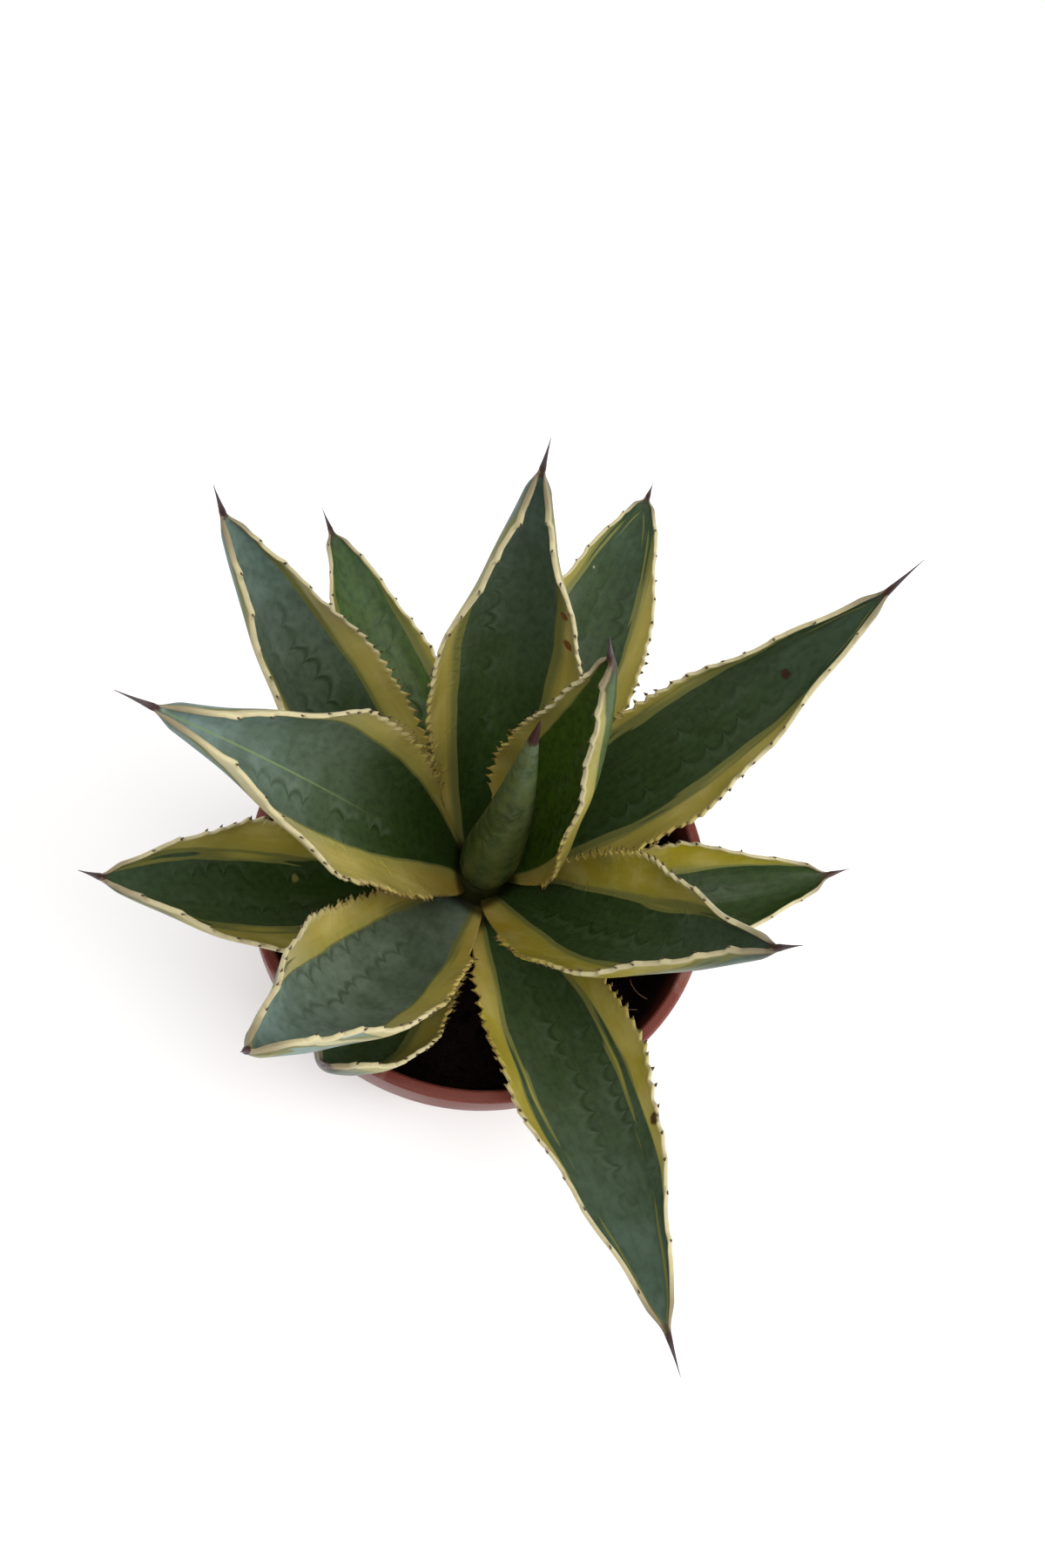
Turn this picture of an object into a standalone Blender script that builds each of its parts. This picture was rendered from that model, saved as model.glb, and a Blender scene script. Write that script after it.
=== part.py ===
"""Potted agave: a young variegated agave rosette in a round plastic pot.

Metres, +Z up. The origin is the centre of the pot's underside, so the pot stands on Z = 0, and the
plant's axis is the pot's axis. The nodes are the pot, the soil, the stem, the rolled centre leaf (spear)
and thirteen open leaves, numbered from the innermost and youngest to the outermost and oldest.
"""

import math
from collections import namedtuple

import bmesh
import bpy
from mathutils import Matrix, Vector

MM = 0.001

# Pot
POT_HEIGHT = 150 * MM
POT_RIM_DIAMETER = 200 * MM
POT_BASE_DIAMETER = 132 * MM
POT_WALL = 2.5 * MM
POT_FLOOR = 3.0 * MM
RIM_BAND_HEIGHT = 23 * MM
RIM_LIP_WIDTH = 5.5 * MM
RIM_BAND_TAPER = 1.2 * MM
LIP_ROUNDING = 1.4 * MM
BASE_ROUNDING = 4.0 * MM
DRAIN_HOLES = 6
DRAIN_HOLE_DIAMETER = 11 * MM
DRAIN_CIRCLE_DIAMETER = 84 * MM
DRAIN_CUTTER_DEPTH = 4 * POT_FLOOR
INNER_CORNER_END = -15.0
OUTER_CORNER_START = -10.0

# Soil
SOIL_BELOW_LEAVES = 2.0 * MM
SOIL_CROWN = 1.2 * MM
SOIL_EDGE_DROP = 2.4 * MM
SOIL_RING_SHARES = (0.35, 0.6, 0.8, 0.94)

# Gap kept between two pieces that touch
FIT_GAP = 0.3 * MM

# Spear: the rolled centre leaf
SPEAR_DIAMETER = 24.6 * MM
SPEAR_FOOT_DIAMETER = 12 * MM
SPEAR_BLADE_HEIGHT = 133 * MM
SPEAR_SPINE_LENGTH = 14 * MM
SPEAR_SPINE_DIAMETER = 3.6 * MM
SPEAR_BOW = 2.0 * MM
SPEAR_WIDEST = 0.19
SPEAR_SWELL_POWER = 2.2
SPEAR_TAPER_POWER = 1.15
# Rings of the end spine: how far along it, and how wide beside its foot
SPEAR_SPINE_RINGS = ((0.45, 0.55), (1.0, 0.12))

# Stem, and the seats that the leaves grow from. Each leaf sits a little lower and further out than the last.
# The lowest leaf climbs towards the rim and passes over it, so a narrower pot holds the whole crown higher.
LOWEST_LEAF_CLIMB = 0.4
RIM_CLEARANCE = 3.0 * MM
SEAT_STACK_GAP = 1.5 * MM
SEATS_BETWEEN_STACKED_LEAVES = 3
SEAT_SPREAD = 0.9 * MM
INNER_LEAF_TUCK = 3.3 * MM
STEM_TOP_DROP = 0.8 * MM
STEM_SHOULDER = 2.0 * MM
STEM_SWELL = 0.6 * MM
STEM_ROOT_DEPTH = 28 * MM
STEM_ROOT_DIAMETER = 18 * MM
STEM_NECK_DEPTH = STEM_ROOT_DEPTH / 3
STEM_ROOT_BEVEL = STEM_ROOT_DIAMETER / 4

# Leaves
FIRST_AZIMUTH = 62.0
GOLDEN_ANGLE = 137.5
LEAF_NECK_WIDTH = 20.5 * MM
LEAF_BASE_THICKNESS = 6.0 * MM
LEAF_TIP_THICKNESS = 2.6 * MM
LEAF_MARGIN_THICKNESS = 1.2 * MM
LEAF_TIP_WIDTH = 3.6 * MM
LEAF_ROOT_LENGTH = 6.0 * MM
ROOT_NARROWING = 0.6
CUP_AT_BASE = 15.0
CUP_AT_MIDDLE = 55.0
CUP_GROWTH = 1.5
SWELL_POWER = 0.9
TAPER_POWER = 1.6
KEEL_POWER = 0.8
# Rings of an end spine: how far along it, and how wide beside the end of the blade
SPINE_RINGS = ((0.35, 0.80), (1.0, 0.15))

# Resolution
SHARP_ANGLE = 35.0
DRAIN_HOLE_SIDES = 16
TURNED_STEPS = 48
STEM_STEPS = 32
ARC_STEPS = 4
BLADE_SECTIONS = 16
WALK_STEPS = 12
UPPER_POINTS = 6
SPEAR_SECTIONS = 14
SPEAR_SIDES = 20

# One open leaf. Angles are in degrees and lengths in millimetres.
#   lean      how far the leaf stands off its place in the golden-angle spiral
#   rise_base elevation of the midrib where it leaves the stem
#   rise_tip  elevation of the midrib at the tip
#   length    along the midrib, without the end spine
#   width     across the surface at the widest place
#   cup_tip   half the angle that the channel spans near the tip
#   roll      how far the blade rolls about its midrib by the tip
#   swing     how far the midrib turns sideways by the tip
#   widest    where the blade is widest, as a share of its length
#   spine     length of the end spine
Leaf = namedtuple("Leaf", "lean rise_base rise_tip length width cup_tip roll swing widest spine")

LEAVES = [
    #    lean, base, tip, length, width, cup, roll, swing, widest, spine
    Leaf(-15, 70, 103, 180, 60, 100, 0, -14, 0.32, 14),
    Leaf(3, 58, 54, 209, 68, 145, 32, 10, 0.55, 17),
    Leaf(-4, 46, 72, 193, 63, 130, -18, -2, 0.46, 14),
    Leaf(-3, 57, 89, 209, 65, 137, 11, 11, 0.54, 16),
    Leaf(1, 35, 68, 223, 62, 109, 2, 0, 0.55, 6),
    Leaf(13, 41, 62, 210, 58, 100, -9, 6, 0.48, 17),
    Leaf(-2, 29, 75, 203, 61, 91, -2, 1, 0.50, 13),
    Leaf(9, 22, 18, 197, 62, 81, -10, -13, 0.47, 14),
    Leaf(4, 31, -9, 196, 61, 87, 0, 4, 0.51, 9),
    Leaf(-5, 19, 61, 181, 63, 78, 3, 5, 0.55, 12),
    Leaf(7, 37, -3, 145, 49, 74, -6, 35, 0.55, 9),
    Leaf(6, 40, -10, 166, 49, 89, -1, -12, 0.47, 13),
    Leaf(-16, 17, 80, 166, 55, 71, 6, 6, 0.56, 5),
]

# Colours: linear base colour, roughness
TERRACOTTA_RED = ((0.235, 0.085, 0.066), 0.55)
PEAT_BLACK = ((0.010, 0.007, 0.006), 0.95)
STEM_CREAM = ((0.42, 0.36, 0.14), 0.60)
SPEAR_GREEN = ((0.085, 0.130, 0.062), 0.50)
LEAF_GREEN = ((0.045, 0.085, 0.042), 0.50)

# Heights and radii that follow from the sizes above. The leaf three places further out is the nearest one
# underneath, so three seats hold one leaf and a gap.
INNER_SEAT_RADIUS = SPEAR_DIAMETER / 2 - INNER_LEAF_TUCK
OUTER_SEAT_RADIUS = INNER_SEAT_RADIUS + SEAT_SPREAD * (len(LEAVES) - 1)
SEAT_PITCH = (LEAF_BASE_THICKNESS + SEAT_STACK_GAP) / SEATS_BETWEEN_STACKED_LEAVES
CLIMB_TO_RIM = LOWEST_LEAF_CLIMB * (POT_RIM_DIAMETER / 2 - OUTER_SEAT_RADIUS)
LOWEST_SEAT = POT_HEIGHT + RIM_CLEARANCE - CLIMB_TO_RIM
CROWN_HEIGHT = LOWEST_SEAT + SEAT_PITCH * (len(LEAVES) - 1)
SOIL_LEVEL = LOWEST_SEAT - LEAF_BASE_THICKNESS - SOIL_BELOW_LEAVES
STEM_TOP = CROWN_HEIGHT - STEM_TOP_DROP
SPEAR_FOOT = STEM_TOP + FIT_GAP


def clear_scene():
    """Removes every object and collection that the file opened with."""
    for obj in list(bpy.data.objects):
        bpy.data.objects.remove(obj, do_unlink=True)
    for collection in list(bpy.data.collections):
        bpy.data.collections.remove(collection)


def new_collection(name):
    collection = bpy.data.collections.new(name)
    bpy.context.scene.collection.children.link(collection)
    return collection


def new_material(name, colour_and_roughness):
    """A plain Principled BSDF with its own colour and roughness. Nothing here is metal."""
    colour, roughness = colour_and_roughness
    material = bpy.data.materials.new(name)
    material.use_nodes = True
    shader = material.node_tree.nodes["Principled BSDF"]
    shader.inputs["Base Color"].default_value = (*colour, 1.0)
    shader.inputs["Roughness"].default_value = roughness
    shader.inputs["Metallic"].default_value = 0.0
    material.diffuse_color = (*colour, 1.0)
    return material


def arc(centre_r, centre_z, radius, start, end, steps=ARC_STEPS):
    """Points (r, z) on an arc of a turned profile, from one angle in degrees to another."""
    points = []
    for step in range(steps + 1):
        angle = math.radians(start + (end - start) * step / steps)
        points.append((centre_r + radius * math.cos(angle), centre_z + radius * math.sin(angle)))
    return points


def turned(name, profile, steps, collection, material=None):
    """A solid of revolution: an open (r, z) profile and a Screw modifier about Z.

    The profile starts and ends on the axis and its outer side runs from top to bottom, so that the
    faces point out.
    """
    mesh = bpy.data.meshes.new(name)
    form = bmesh.new()
    previous = None
    for r, z in profile:
        point = form.verts.new((r, 0.0, z))
        if previous is not None:
            form.edges.new((previous, point))
        previous = point
    form.to_mesh(mesh)
    form.free()
    obj = bpy.data.objects.new(name, mesh)
    collection.objects.link(obj)
    screw = obj.modifiers.new("Turn", "SCREW")
    screw.axis = "Z"
    screw.angle = math.tau
    screw.steps = steps
    screw.render_steps = steps
    screw.use_merge_vertices = True
    screw.merge_threshold = 0.00001
    screw.use_smooth_shade = True
    if material is not None:
        mesh.materials.append(material)
    return obj


def hide_as_cutter(obj):
    obj.hide_render = True
    obj.display_type = "WIRE"


def cut_with(obj, cutter, name):
    boolean = obj.modifiers.new(name, "BOOLEAN")
    boolean.operation = "DIFFERENCE"
    boolean.solver = "EXACT"
    boolean.object = cutter


def shade_round(mesh):
    """Smooth shading that keeps the sharp edges sharp."""
    mesh.shade_smooth()
    mesh.set_sharp_from_angle(angle=math.radians(SHARP_ANGLE))


# Pot


def pot_inner_radius(z):
    """Radius of the pot's inner wall at a height: a straight taper from the floor to the lip."""
    bottom = POT_BASE_DIAMETER / 2 - POT_WALL
    top = POT_RIM_DIAMETER / 2 - RIM_LIP_WIDTH
    return bottom + (top - bottom) * z / POT_HEIGHT


def pot_profile():
    """From the inner floor, up the inner wall, over the lip, down the band and wall, to the underside."""
    lip_inner = POT_RIM_DIAMETER / 2 - RIM_LIP_WIDTH
    lip_outer = POT_RIM_DIAMETER / 2
    lip_z = POT_HEIGHT - LIP_ROUNDING
    band_foot = POT_HEIGHT - RIM_BAND_HEIGHT
    wall_top = pot_inner_radius(band_foot) + POT_WALL
    floor_corner = pot_inner_radius(POT_FLOOR) - BASE_ROUNDING
    profile = [(0.0, POT_FLOOR)]
    profile += arc(floor_corner, POT_FLOOR + BASE_ROUNDING, BASE_ROUNDING, -90, INNER_CORNER_END)
    profile += arc(lip_inner + LIP_ROUNDING, lip_z, LIP_ROUNDING, 180, 90)
    profile += arc(lip_outer - LIP_ROUNDING, lip_z, LIP_ROUNDING, 90, 0)
    profile += arc(lip_outer - RIM_BAND_TAPER - LIP_ROUNDING, band_foot + LIP_ROUNDING, LIP_ROUNDING, 0, -90)
    profile.append((wall_top, band_foot))
    base_corner = POT_BASE_DIAMETER / 2 - BASE_ROUNDING
    profile += arc(base_corner, BASE_ROUNDING, BASE_ROUNDING, OUTER_CORNER_START, -90)
    profile.append((0.0, 0.0))
    return profile


def make_pot(parts, cutters, material):
    pot = turned("pot", pot_profile(), TURNED_STEPS, parts, material)
    for number in range(DRAIN_HOLES):
        angle = math.tau * number / DRAIN_HOLES
        bpy.ops.mesh.primitive_cylinder_add(
            vertices=DRAIN_HOLE_SIDES,
            radius=DRAIN_HOLE_DIAMETER / 2,
            depth=DRAIN_CUTTER_DEPTH,
            location=(
                DRAIN_CIRCLE_DIAMETER / 2 * math.cos(angle),
                DRAIN_CIRCLE_DIAMETER / 2 * math.sin(angle),
                POT_FLOOR / 2,
            ),
        )
        hole = bpy.context.object
        hole.name = f"drain_hole_{number + 1}"
        for collection in list(hole.users_collection):
            collection.objects.unlink(hole)
        cutters.objects.link(hole)
        hide_as_cutter(hole)
        cut_with(pot, hole, f"Drain {number + 1}")
    return pot


# Stem and soil


def seat_height(number):
    """Height of a leaf's seat on the stem. Seat 0 is the innermost leaf's."""
    return CROWN_HEIGHT - SEAT_PITCH * number


def seat_radius(number):
    """Distance of a leaf's seat from the axis."""
    return INNER_SEAT_RADIUS + SEAT_SPREAD * number


def stem_profile(grow=0.0):
    """The stem's outer side from its top to its root end. grow makes the larger shape that clears it."""
    profile = [(0.0, STEM_TOP + grow)]
    profile.append((INNER_SEAT_RADIUS - STEM_SHOULDER + grow, STEM_TOP + grow))
    for number in range(1, len(LEAVES) + 1):
        profile.append((seat_radius(number) + STEM_SWELL + grow, seat_height(number)))
    neck_radius = seat_radius(len(LEAVES)) + STEM_SWELL + grow
    root_end = SOIL_LEVEL - STEM_ROOT_DEPTH
    profile.append((neck_radius, SOIL_LEVEL - STEM_NECK_DEPTH))
    profile.append((STEM_ROOT_DIAMETER / 2 + grow, root_end + STEM_ROOT_BEVEL))
    profile.append((STEM_ROOT_DIAMETER / 4 + grow, root_end - grow))
    profile.append((0.0, root_end - grow))
    return profile


def soil_profile():
    """A body that fills the pot to the soil level, a little higher in the middle."""
    edge_level = SOIL_LEVEL - SOIL_EDGE_DROP
    top_radius = pot_inner_radius(edge_level) - FIT_GAP
    bottom = POT_FLOOR + FIT_GAP
    corner = pot_inner_radius(POT_FLOOR) - BASE_ROUNDING - FIT_GAP
    profile = [(0.0, SOIL_LEVEL)]
    for share in SOIL_RING_SHARES:
        profile.append((top_radius * share, SOIL_LEVEL - SOIL_CROWN * share**2))
    profile.append((top_radius, edge_level))
    profile += arc(
        corner, bottom + BASE_ROUNDING, BASE_ROUNDING - FIT_GAP, OUTER_CORNER_START, -90
    )
    profile.append((0.0, bottom + FIT_GAP))
    return profile


def spear_radius(share):
    """Radius of the closed centre leaf: a round foot, the belly low down, then a long taper."""
    belly = SPEAR_DIAMETER / 2
    foot = SPEAR_FOOT_DIAMETER / 2
    neck = SPEAR_SPINE_DIAMETER / 2
    if share > SPEAR_WIDEST:
        taper = ((share - SPEAR_WIDEST) / (1 - SPEAR_WIDEST)) ** SPEAR_TAPER_POWER
        return belly + (neck - belly) * taper
    swell = (1 - share / SPEAR_WIDEST) ** SPEAR_SWELL_POWER
    return belly + (foot - belly) * swell


def spear_rings():
    """Level rings up the closed centre leaf, which bows a little towards +X, and its end spine."""
    stations = []
    for section in range(SPEAR_SECTIONS + 1):
        share = section / SPEAR_SECTIONS
        bow = SPEAR_BOW * math.sin(math.pi * share)
        stations.append((bow, spear_radius(share), SPEAR_BLADE_HEIGHT * share))
    neck = SPEAR_SPINE_DIAMETER / 2
    for reach, size in SPEAR_SPINE_RINGS:
        stations.append((0.0, neck * size, SPEAR_BLADE_HEIGHT + SPEAR_SPINE_LENGTH * reach))
    rings = []
    for offset, radius, height in stations:
        ring = []
        for step in range(SPEAR_SIDES):
            angle = math.tau * step / SPEAR_SIDES
            x = offset + radius * math.cos(angle)
            ring.append(Vector((x, radius * math.sin(angle), SPEAR_FOOT + height)))
        rings.append(ring)
    return rings


# Leaves


def blade_width(leaf, share):
    """Width across the surface: the neck, a quick swell to the widest place, a long taper to the tip."""
    width = leaf.width * MM
    if share < leaf.widest:
        swell = math.sin(share / leaf.widest * math.pi / 2) ** SWELL_POWER
        return LEAF_NECK_WIDTH + (width - LEAF_NECK_WIDTH) * swell
    taper = ((share - leaf.widest) / (1 - leaf.widest)) ** TAPER_POWER
    return width - (width - LEAF_TIP_WIDTH) * taper


def blade_cup(leaf, share):
    """Half the angle that the channel spans, in radians: nearly flat at the base, folded at the tip."""
    if share < 0.5:
        return math.radians(CUP_AT_BASE + (CUP_AT_MIDDLE - CUP_AT_BASE) * math.sin(share * math.pi))
    growth = ((share - 0.5) / 0.5) ** CUP_GROWTH
    return math.radians(CUP_AT_MIDDLE + (leaf.cup_tip - CUP_AT_MIDDLE) * growth)


def heading(leaf, azimuth, share):
    """Unit vectors at a place on the midrib: along it, across the blade and out of its upper face."""
    turn = math.radians(azimuth + leaf.swing * share)
    rise = math.radians(leaf.rise_base + (leaf.rise_tip - leaf.rise_base) * share)
    along = Vector((math.cos(rise) * math.cos(turn), math.cos(rise) * math.sin(turn), math.sin(rise)))
    across = Vector((math.sin(turn), -math.cos(turn), 0.0))
    roll = Matrix.Rotation(math.radians(leaf.roll) * math.sin(share * math.pi / 2), 3, -along)
    across = roll @ across
    return along, across, across.cross(along)


def blade_section(leaf, share, origin, frame, narrowing=1.0):
    """One ring of points: the channelled upper face from left to right, then the underside back."""
    along, across, out = frame
    half_width = blade_width(leaf, share) / 2 * narrowing
    cup = blade_cup(leaf, share) * narrowing
    radius = half_width / cup
    keel = LEAF_BASE_THICKNESS + (LEAF_TIP_THICKNESS - LEAF_BASE_THICKNESS) * share
    upper = []
    under = []
    for step in range(UPPER_POINTS):
        side = 2 * step / (UPPER_POINTS - 1) - 1
        body = max(0.0, 1 - side * side) ** KEEL_POWER
        thickness = LEAF_MARGIN_THICKNESS + (keel * narrowing - LEAF_MARGIN_THICKNESS) * body
        angle = cup * side
        direction = across * math.sin(angle) - out * math.cos(angle)
        centre = origin + out * radius
        upper.append(centre + direction * radius)
        under.append(centre + direction * (radius + thickness))
    return upper + under[::-1]


def leaf_rings(leaf, number):
    """All the rings of one leaf, from the root end inside the stem to the point of the end spine."""
    azimuth = FIRST_AZIMUTH + GOLDEN_ANGLE * number + leaf.lean
    turn = math.radians(azimuth)
    seat = Vector((math.cos(turn), math.sin(turn), 0.0)) * seat_radius(number)
    seat.z = seat_height(number)
    frame = heading(leaf, azimuth, 0.0)
    rings = [blade_section(leaf, 0.0, seat - frame[0] * LEAF_ROOT_LENGTH, frame, ROOT_NARROWING)]
    rings.append(blade_section(leaf, 0.0, seat, frame))
    place = seat.copy()
    step_length = leaf.length * MM / (BLADE_SECTIONS * WALK_STEPS)
    for section in range(1, BLADE_SECTIONS + 1):
        for walk in range(WALK_STEPS):
            middle = (section - 1 + (walk + 0.5) / WALK_STEPS) / BLADE_SECTIONS
            place = place + heading(leaf, azimuth, middle)[0] * step_length
        share = section / BLADE_SECTIONS
        frame = heading(leaf, azimuth, share)
        rings.append(blade_section(leaf, share, place, frame))
    last = rings[-1]
    centre = sum(last, Vector()) / len(last)
    for reach, size in SPINE_RINGS:
        tip = centre + frame[0] * leaf.spine * MM * reach
        rings.append([tip + (point - centre) * size for point in last])
    return rings


def lofted(name, rings, collection, material):
    """Skins a row of rings with quads and closes both ends with strips of quads."""
    mesh = bpy.data.meshes.new(name)
    form = bmesh.new()
    rows = []
    for ring in rings:
        rows.append([form.verts.new(point) for point in ring])
    count = len(rows[0])
    for near, far in zip(rows, rows[1:]):
        for index in range(count):
            after = (index + 1) % count
            form.faces.new((near[index], near[after], far[after], far[index]))
    for row in (rows[0], rows[-1]):
        for index in range(count // 2 - 1):
            form.faces.new((row[index], row[index + 1], row[count - 2 - index], row[count - 1 - index]))
    bmesh.ops.recalc_face_normals(form, faces=form.faces[:])
    form.to_mesh(mesh)
    form.free()
    shade_round(mesh)
    mesh.materials.append(material)
    obj = bpy.data.objects.new(name, mesh)
    collection.objects.link(obj)
    return obj


def make_leaves(parts, stem_clearance):
    """Every open leaf runs into the stem, and is then cut back to leave the fit gap around it."""
    for number, leaf in enumerate(LEAVES):
        name = f"leaf_{number + 1:02d}"
        material = new_material(name + "_green", LEAF_GREEN)
        obj = lofted(name, leaf_rings(leaf, number), parts, material)
        cut_with(obj, stem_clearance, "Seat on stem")


def main():
    clear_scene()
    parts = new_collection("potted_agave")
    cutters = new_collection("cutters")
    make_pot(parts, cutters, new_material("terracotta_red_plastic", TERRACOTTA_RED))
    stem_clearance = turned("stem_clearance", stem_profile(FIT_GAP), STEM_STEPS, cutters)
    hide_as_cutter(stem_clearance)
    soil = turned("potting_soil", soil_profile(), TURNED_STEPS, parts, new_material("peat_mix", PEAT_BLACK))
    cut_with(soil, stem_clearance, "Stem socket")
    turned("stem", stem_profile(), STEM_STEPS, parts, new_material("stem_flesh", STEM_CREAM))
    lofted("spear", spear_rings(), parts, new_material("spear_green", SPEAR_GREEN))
    make_leaves(parts, stem_clearance)


main()
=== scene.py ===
# %% [markdown]
# # A potted agave
# A young agave with cream-edged leaves grows in a round pot of terracotta-coloured plastic. The packed
# solids give every piece its size and place, so they are loaded first and never moved. Each of them is a
# plain form, and the cells below make a finer piece in its place: the pot, the soil, the stem, the rolled
# centre leaf and the thirteen open leaves.

# %% Load the fixed frame
import math
import random
from collections import namedtuple

import bmesh
import bpy
import numpy as np
from mathutils import Matrix, Vector


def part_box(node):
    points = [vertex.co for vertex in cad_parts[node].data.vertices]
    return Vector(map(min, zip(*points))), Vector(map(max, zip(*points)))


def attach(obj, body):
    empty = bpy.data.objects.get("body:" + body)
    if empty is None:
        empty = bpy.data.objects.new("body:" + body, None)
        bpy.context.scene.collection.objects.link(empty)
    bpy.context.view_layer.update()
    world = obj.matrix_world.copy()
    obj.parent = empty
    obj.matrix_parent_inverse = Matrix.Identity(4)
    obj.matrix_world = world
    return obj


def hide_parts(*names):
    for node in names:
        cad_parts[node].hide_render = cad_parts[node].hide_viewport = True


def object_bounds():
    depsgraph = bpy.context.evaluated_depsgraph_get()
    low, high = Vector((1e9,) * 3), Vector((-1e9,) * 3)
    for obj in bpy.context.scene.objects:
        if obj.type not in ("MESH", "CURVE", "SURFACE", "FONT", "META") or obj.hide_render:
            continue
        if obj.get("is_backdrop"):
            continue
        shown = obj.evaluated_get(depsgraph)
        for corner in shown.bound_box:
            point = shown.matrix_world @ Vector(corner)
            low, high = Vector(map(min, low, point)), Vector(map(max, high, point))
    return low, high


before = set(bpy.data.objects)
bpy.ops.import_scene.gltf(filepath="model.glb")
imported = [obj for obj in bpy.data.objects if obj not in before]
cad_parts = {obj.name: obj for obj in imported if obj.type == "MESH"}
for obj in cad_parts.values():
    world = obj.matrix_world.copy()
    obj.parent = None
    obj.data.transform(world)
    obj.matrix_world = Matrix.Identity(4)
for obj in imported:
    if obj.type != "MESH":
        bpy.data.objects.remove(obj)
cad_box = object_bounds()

MM = 0.001
print("solids in the frame:", ", ".join(sorted(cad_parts)))

# %% [markdown]
# ## Camera
# The plant is looked down on from above its front edge, and the camera is turned a little about its own
# line of sight. The camera's three axes are worked out from those two angles, because a matrix made from
# axes says plainly where up and right are. The 33 mm lens is a free choice: a longer one, placed further
# off, would frame the pot's rim nearly the same.

# %% Set up the camera
LOOK_DOWN = math.radians(64.6)
CAMERA_ROLL = math.radians(21.5)
CAMERA_PLACE = Vector((0.0021, -0.2316, 0.7332))
CAMERA_LENS = 33.34

forward = Vector((0.0, math.cos(LOOK_DOWN), -math.sin(LOOK_DOWN)))
level_right = Vector((1.0, 0.0, 0.0))
level_up = level_right.cross(forward)
right = level_right * math.cos(CAMERA_ROLL) + level_up * math.sin(CAMERA_ROLL)
up = right.cross(forward)

camera = bpy.data.objects.new("camera", bpy.data.cameras.new("camera"))
camera.data.lens = CAMERA_LENS
camera.data.clip_start = 0.01
camera.matrix_world = Matrix.Translation(CAMERA_PLACE) @ Matrix((right, up, -forward)).transposed().to_4x4()
bpy.context.scene.collection.objects.link(camera)
bpy.context.scene.camera = camera
print("the camera stands", round(CAMERA_PLACE.length, 3), "m from the pot's foot")

# %% [markdown]
# ## Light and floor
# A studio for a plant needs soft light with no hard shadows: one big lamp on the right, as a window would be,
# a weak one overhead and a pale sky for the rest. The leaves that face right catch a broad sheen, and those
# that face left stay deep green. The standard view transform keeps the colours as they are mixed, so a pale
# floor stays pale.

# %% Put up the lamps and the sky
bpy.context.scene.view_settings.view_transform = "Standard"


def soft_lamp(name, place, size, power):
    """A square lamp that shines at the middle of the plant."""
    data = bpy.data.lights.new(name, "AREA")
    data.size = size
    data.energy = power
    lamp = bpy.data.objects.new(name, data)
    lamp.location = place
    aim = Vector((0.0, 0.0, 0.15)) - lamp.location
    lamp.rotation_euler = aim.to_track_quat("-Z", "Y").to_euler()
    bpy.context.scene.collection.objects.link(lamp)
    return lamp


soft_lamp("window_lamp", (1.45, 0.05, 0.95), 1.2, 21)
soft_lamp("overhead_lamp", (-0.20, -0.35, 2.10), 1.6, 24)

sky = bpy.data.worlds.new("pale_sky")
sky.use_nodes = True
sky.node_tree.nodes["Background"].inputs["Color"].default_value = (1.0, 1.0, 1.0, 1.0)
sky.node_tree.nodes["Background"].inputs["Strength"].default_value = 0.74
bpy.context.scene.world = sky
print("lamps:", [lamp.name for lamp in bpy.data.lights])

# %% [markdown]
# ## Small helpers
# Every piece goes the same way: a bmesh is shaped, written to a mesh, put in the scene and told which body
# it rides on and which plain solid it stands for. One helper does all of that.

# %% Turn a bmesh into a piece
def add_object(name, form):
    """Writes a bmesh to a new object that stands at the origin, unturned and unscaled."""
    mesh = bpy.data.meshes.new(name)
    form.to_mesh(mesh)
    form.free()
    mesh.shade_smooth()
    piece = bpy.data.objects.new(name, mesh)
    bpy.context.scene.collection.objects.link(piece)
    return piece


def stand_for(piece, node, material):
    """The piece rides on the plant's one body, hides the plain solid and takes the finish it is given."""
    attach(piece, "root")
    if node:
        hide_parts(node)
    piece.data.materials.clear()
    piece.data.materials.append(material)
    print(f"{piece.name}: {len(piece.data.vertices)} points, {len(piece.data.polygons)} faces")
    return piece


# %% [markdown]
# A turned piece is a line from top to bottom, spun about the pot's axis. The spin has use_merge on, so that
# the last copy of the line is welded to the first, and the points on the axis are then merged into one.

# %% Spin a profile about the axis
def arc(centre, radius, start, end, steps):
    """Points (r, z) on an arc of a profile, from one angle in degrees to another."""
    angles = np.radians(np.linspace(start, end, steps + 1))
    return [(centre[0] + radius * math.cos(a), centre[1] + radius * math.sin(a)) for a in angles]


def spin_profile(profile, steps):
    """A closed turned form. The profile starts and ends on the axis, and its outer side runs down."""
    form = bmesh.new()
    points = [form.verts.new((r, 0.0, z)) for r, z in profile]
    line = [form.edges.new(pair) for pair in zip(points, points[1:])]
    bmesh.ops.spin(
        form, geom=points + line, cent=(0, 0, 0), axis=(0, 0, 1), angle=math.tau, steps=steps, use_merge=True
    )
    bmesh.ops.remove_doubles(form, verts=form.verts[:], dist=0.00001)
    bmesh.ops.recalc_face_normals(form, faces=form.faces[:])
    return form


# %% [markdown]
# Materials are chains of small nodes, and a chain reads better as a sum than as a list of links. This class
# adds one node for each call and joins whatever it is given: a socket is linked, and a number is set.

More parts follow.
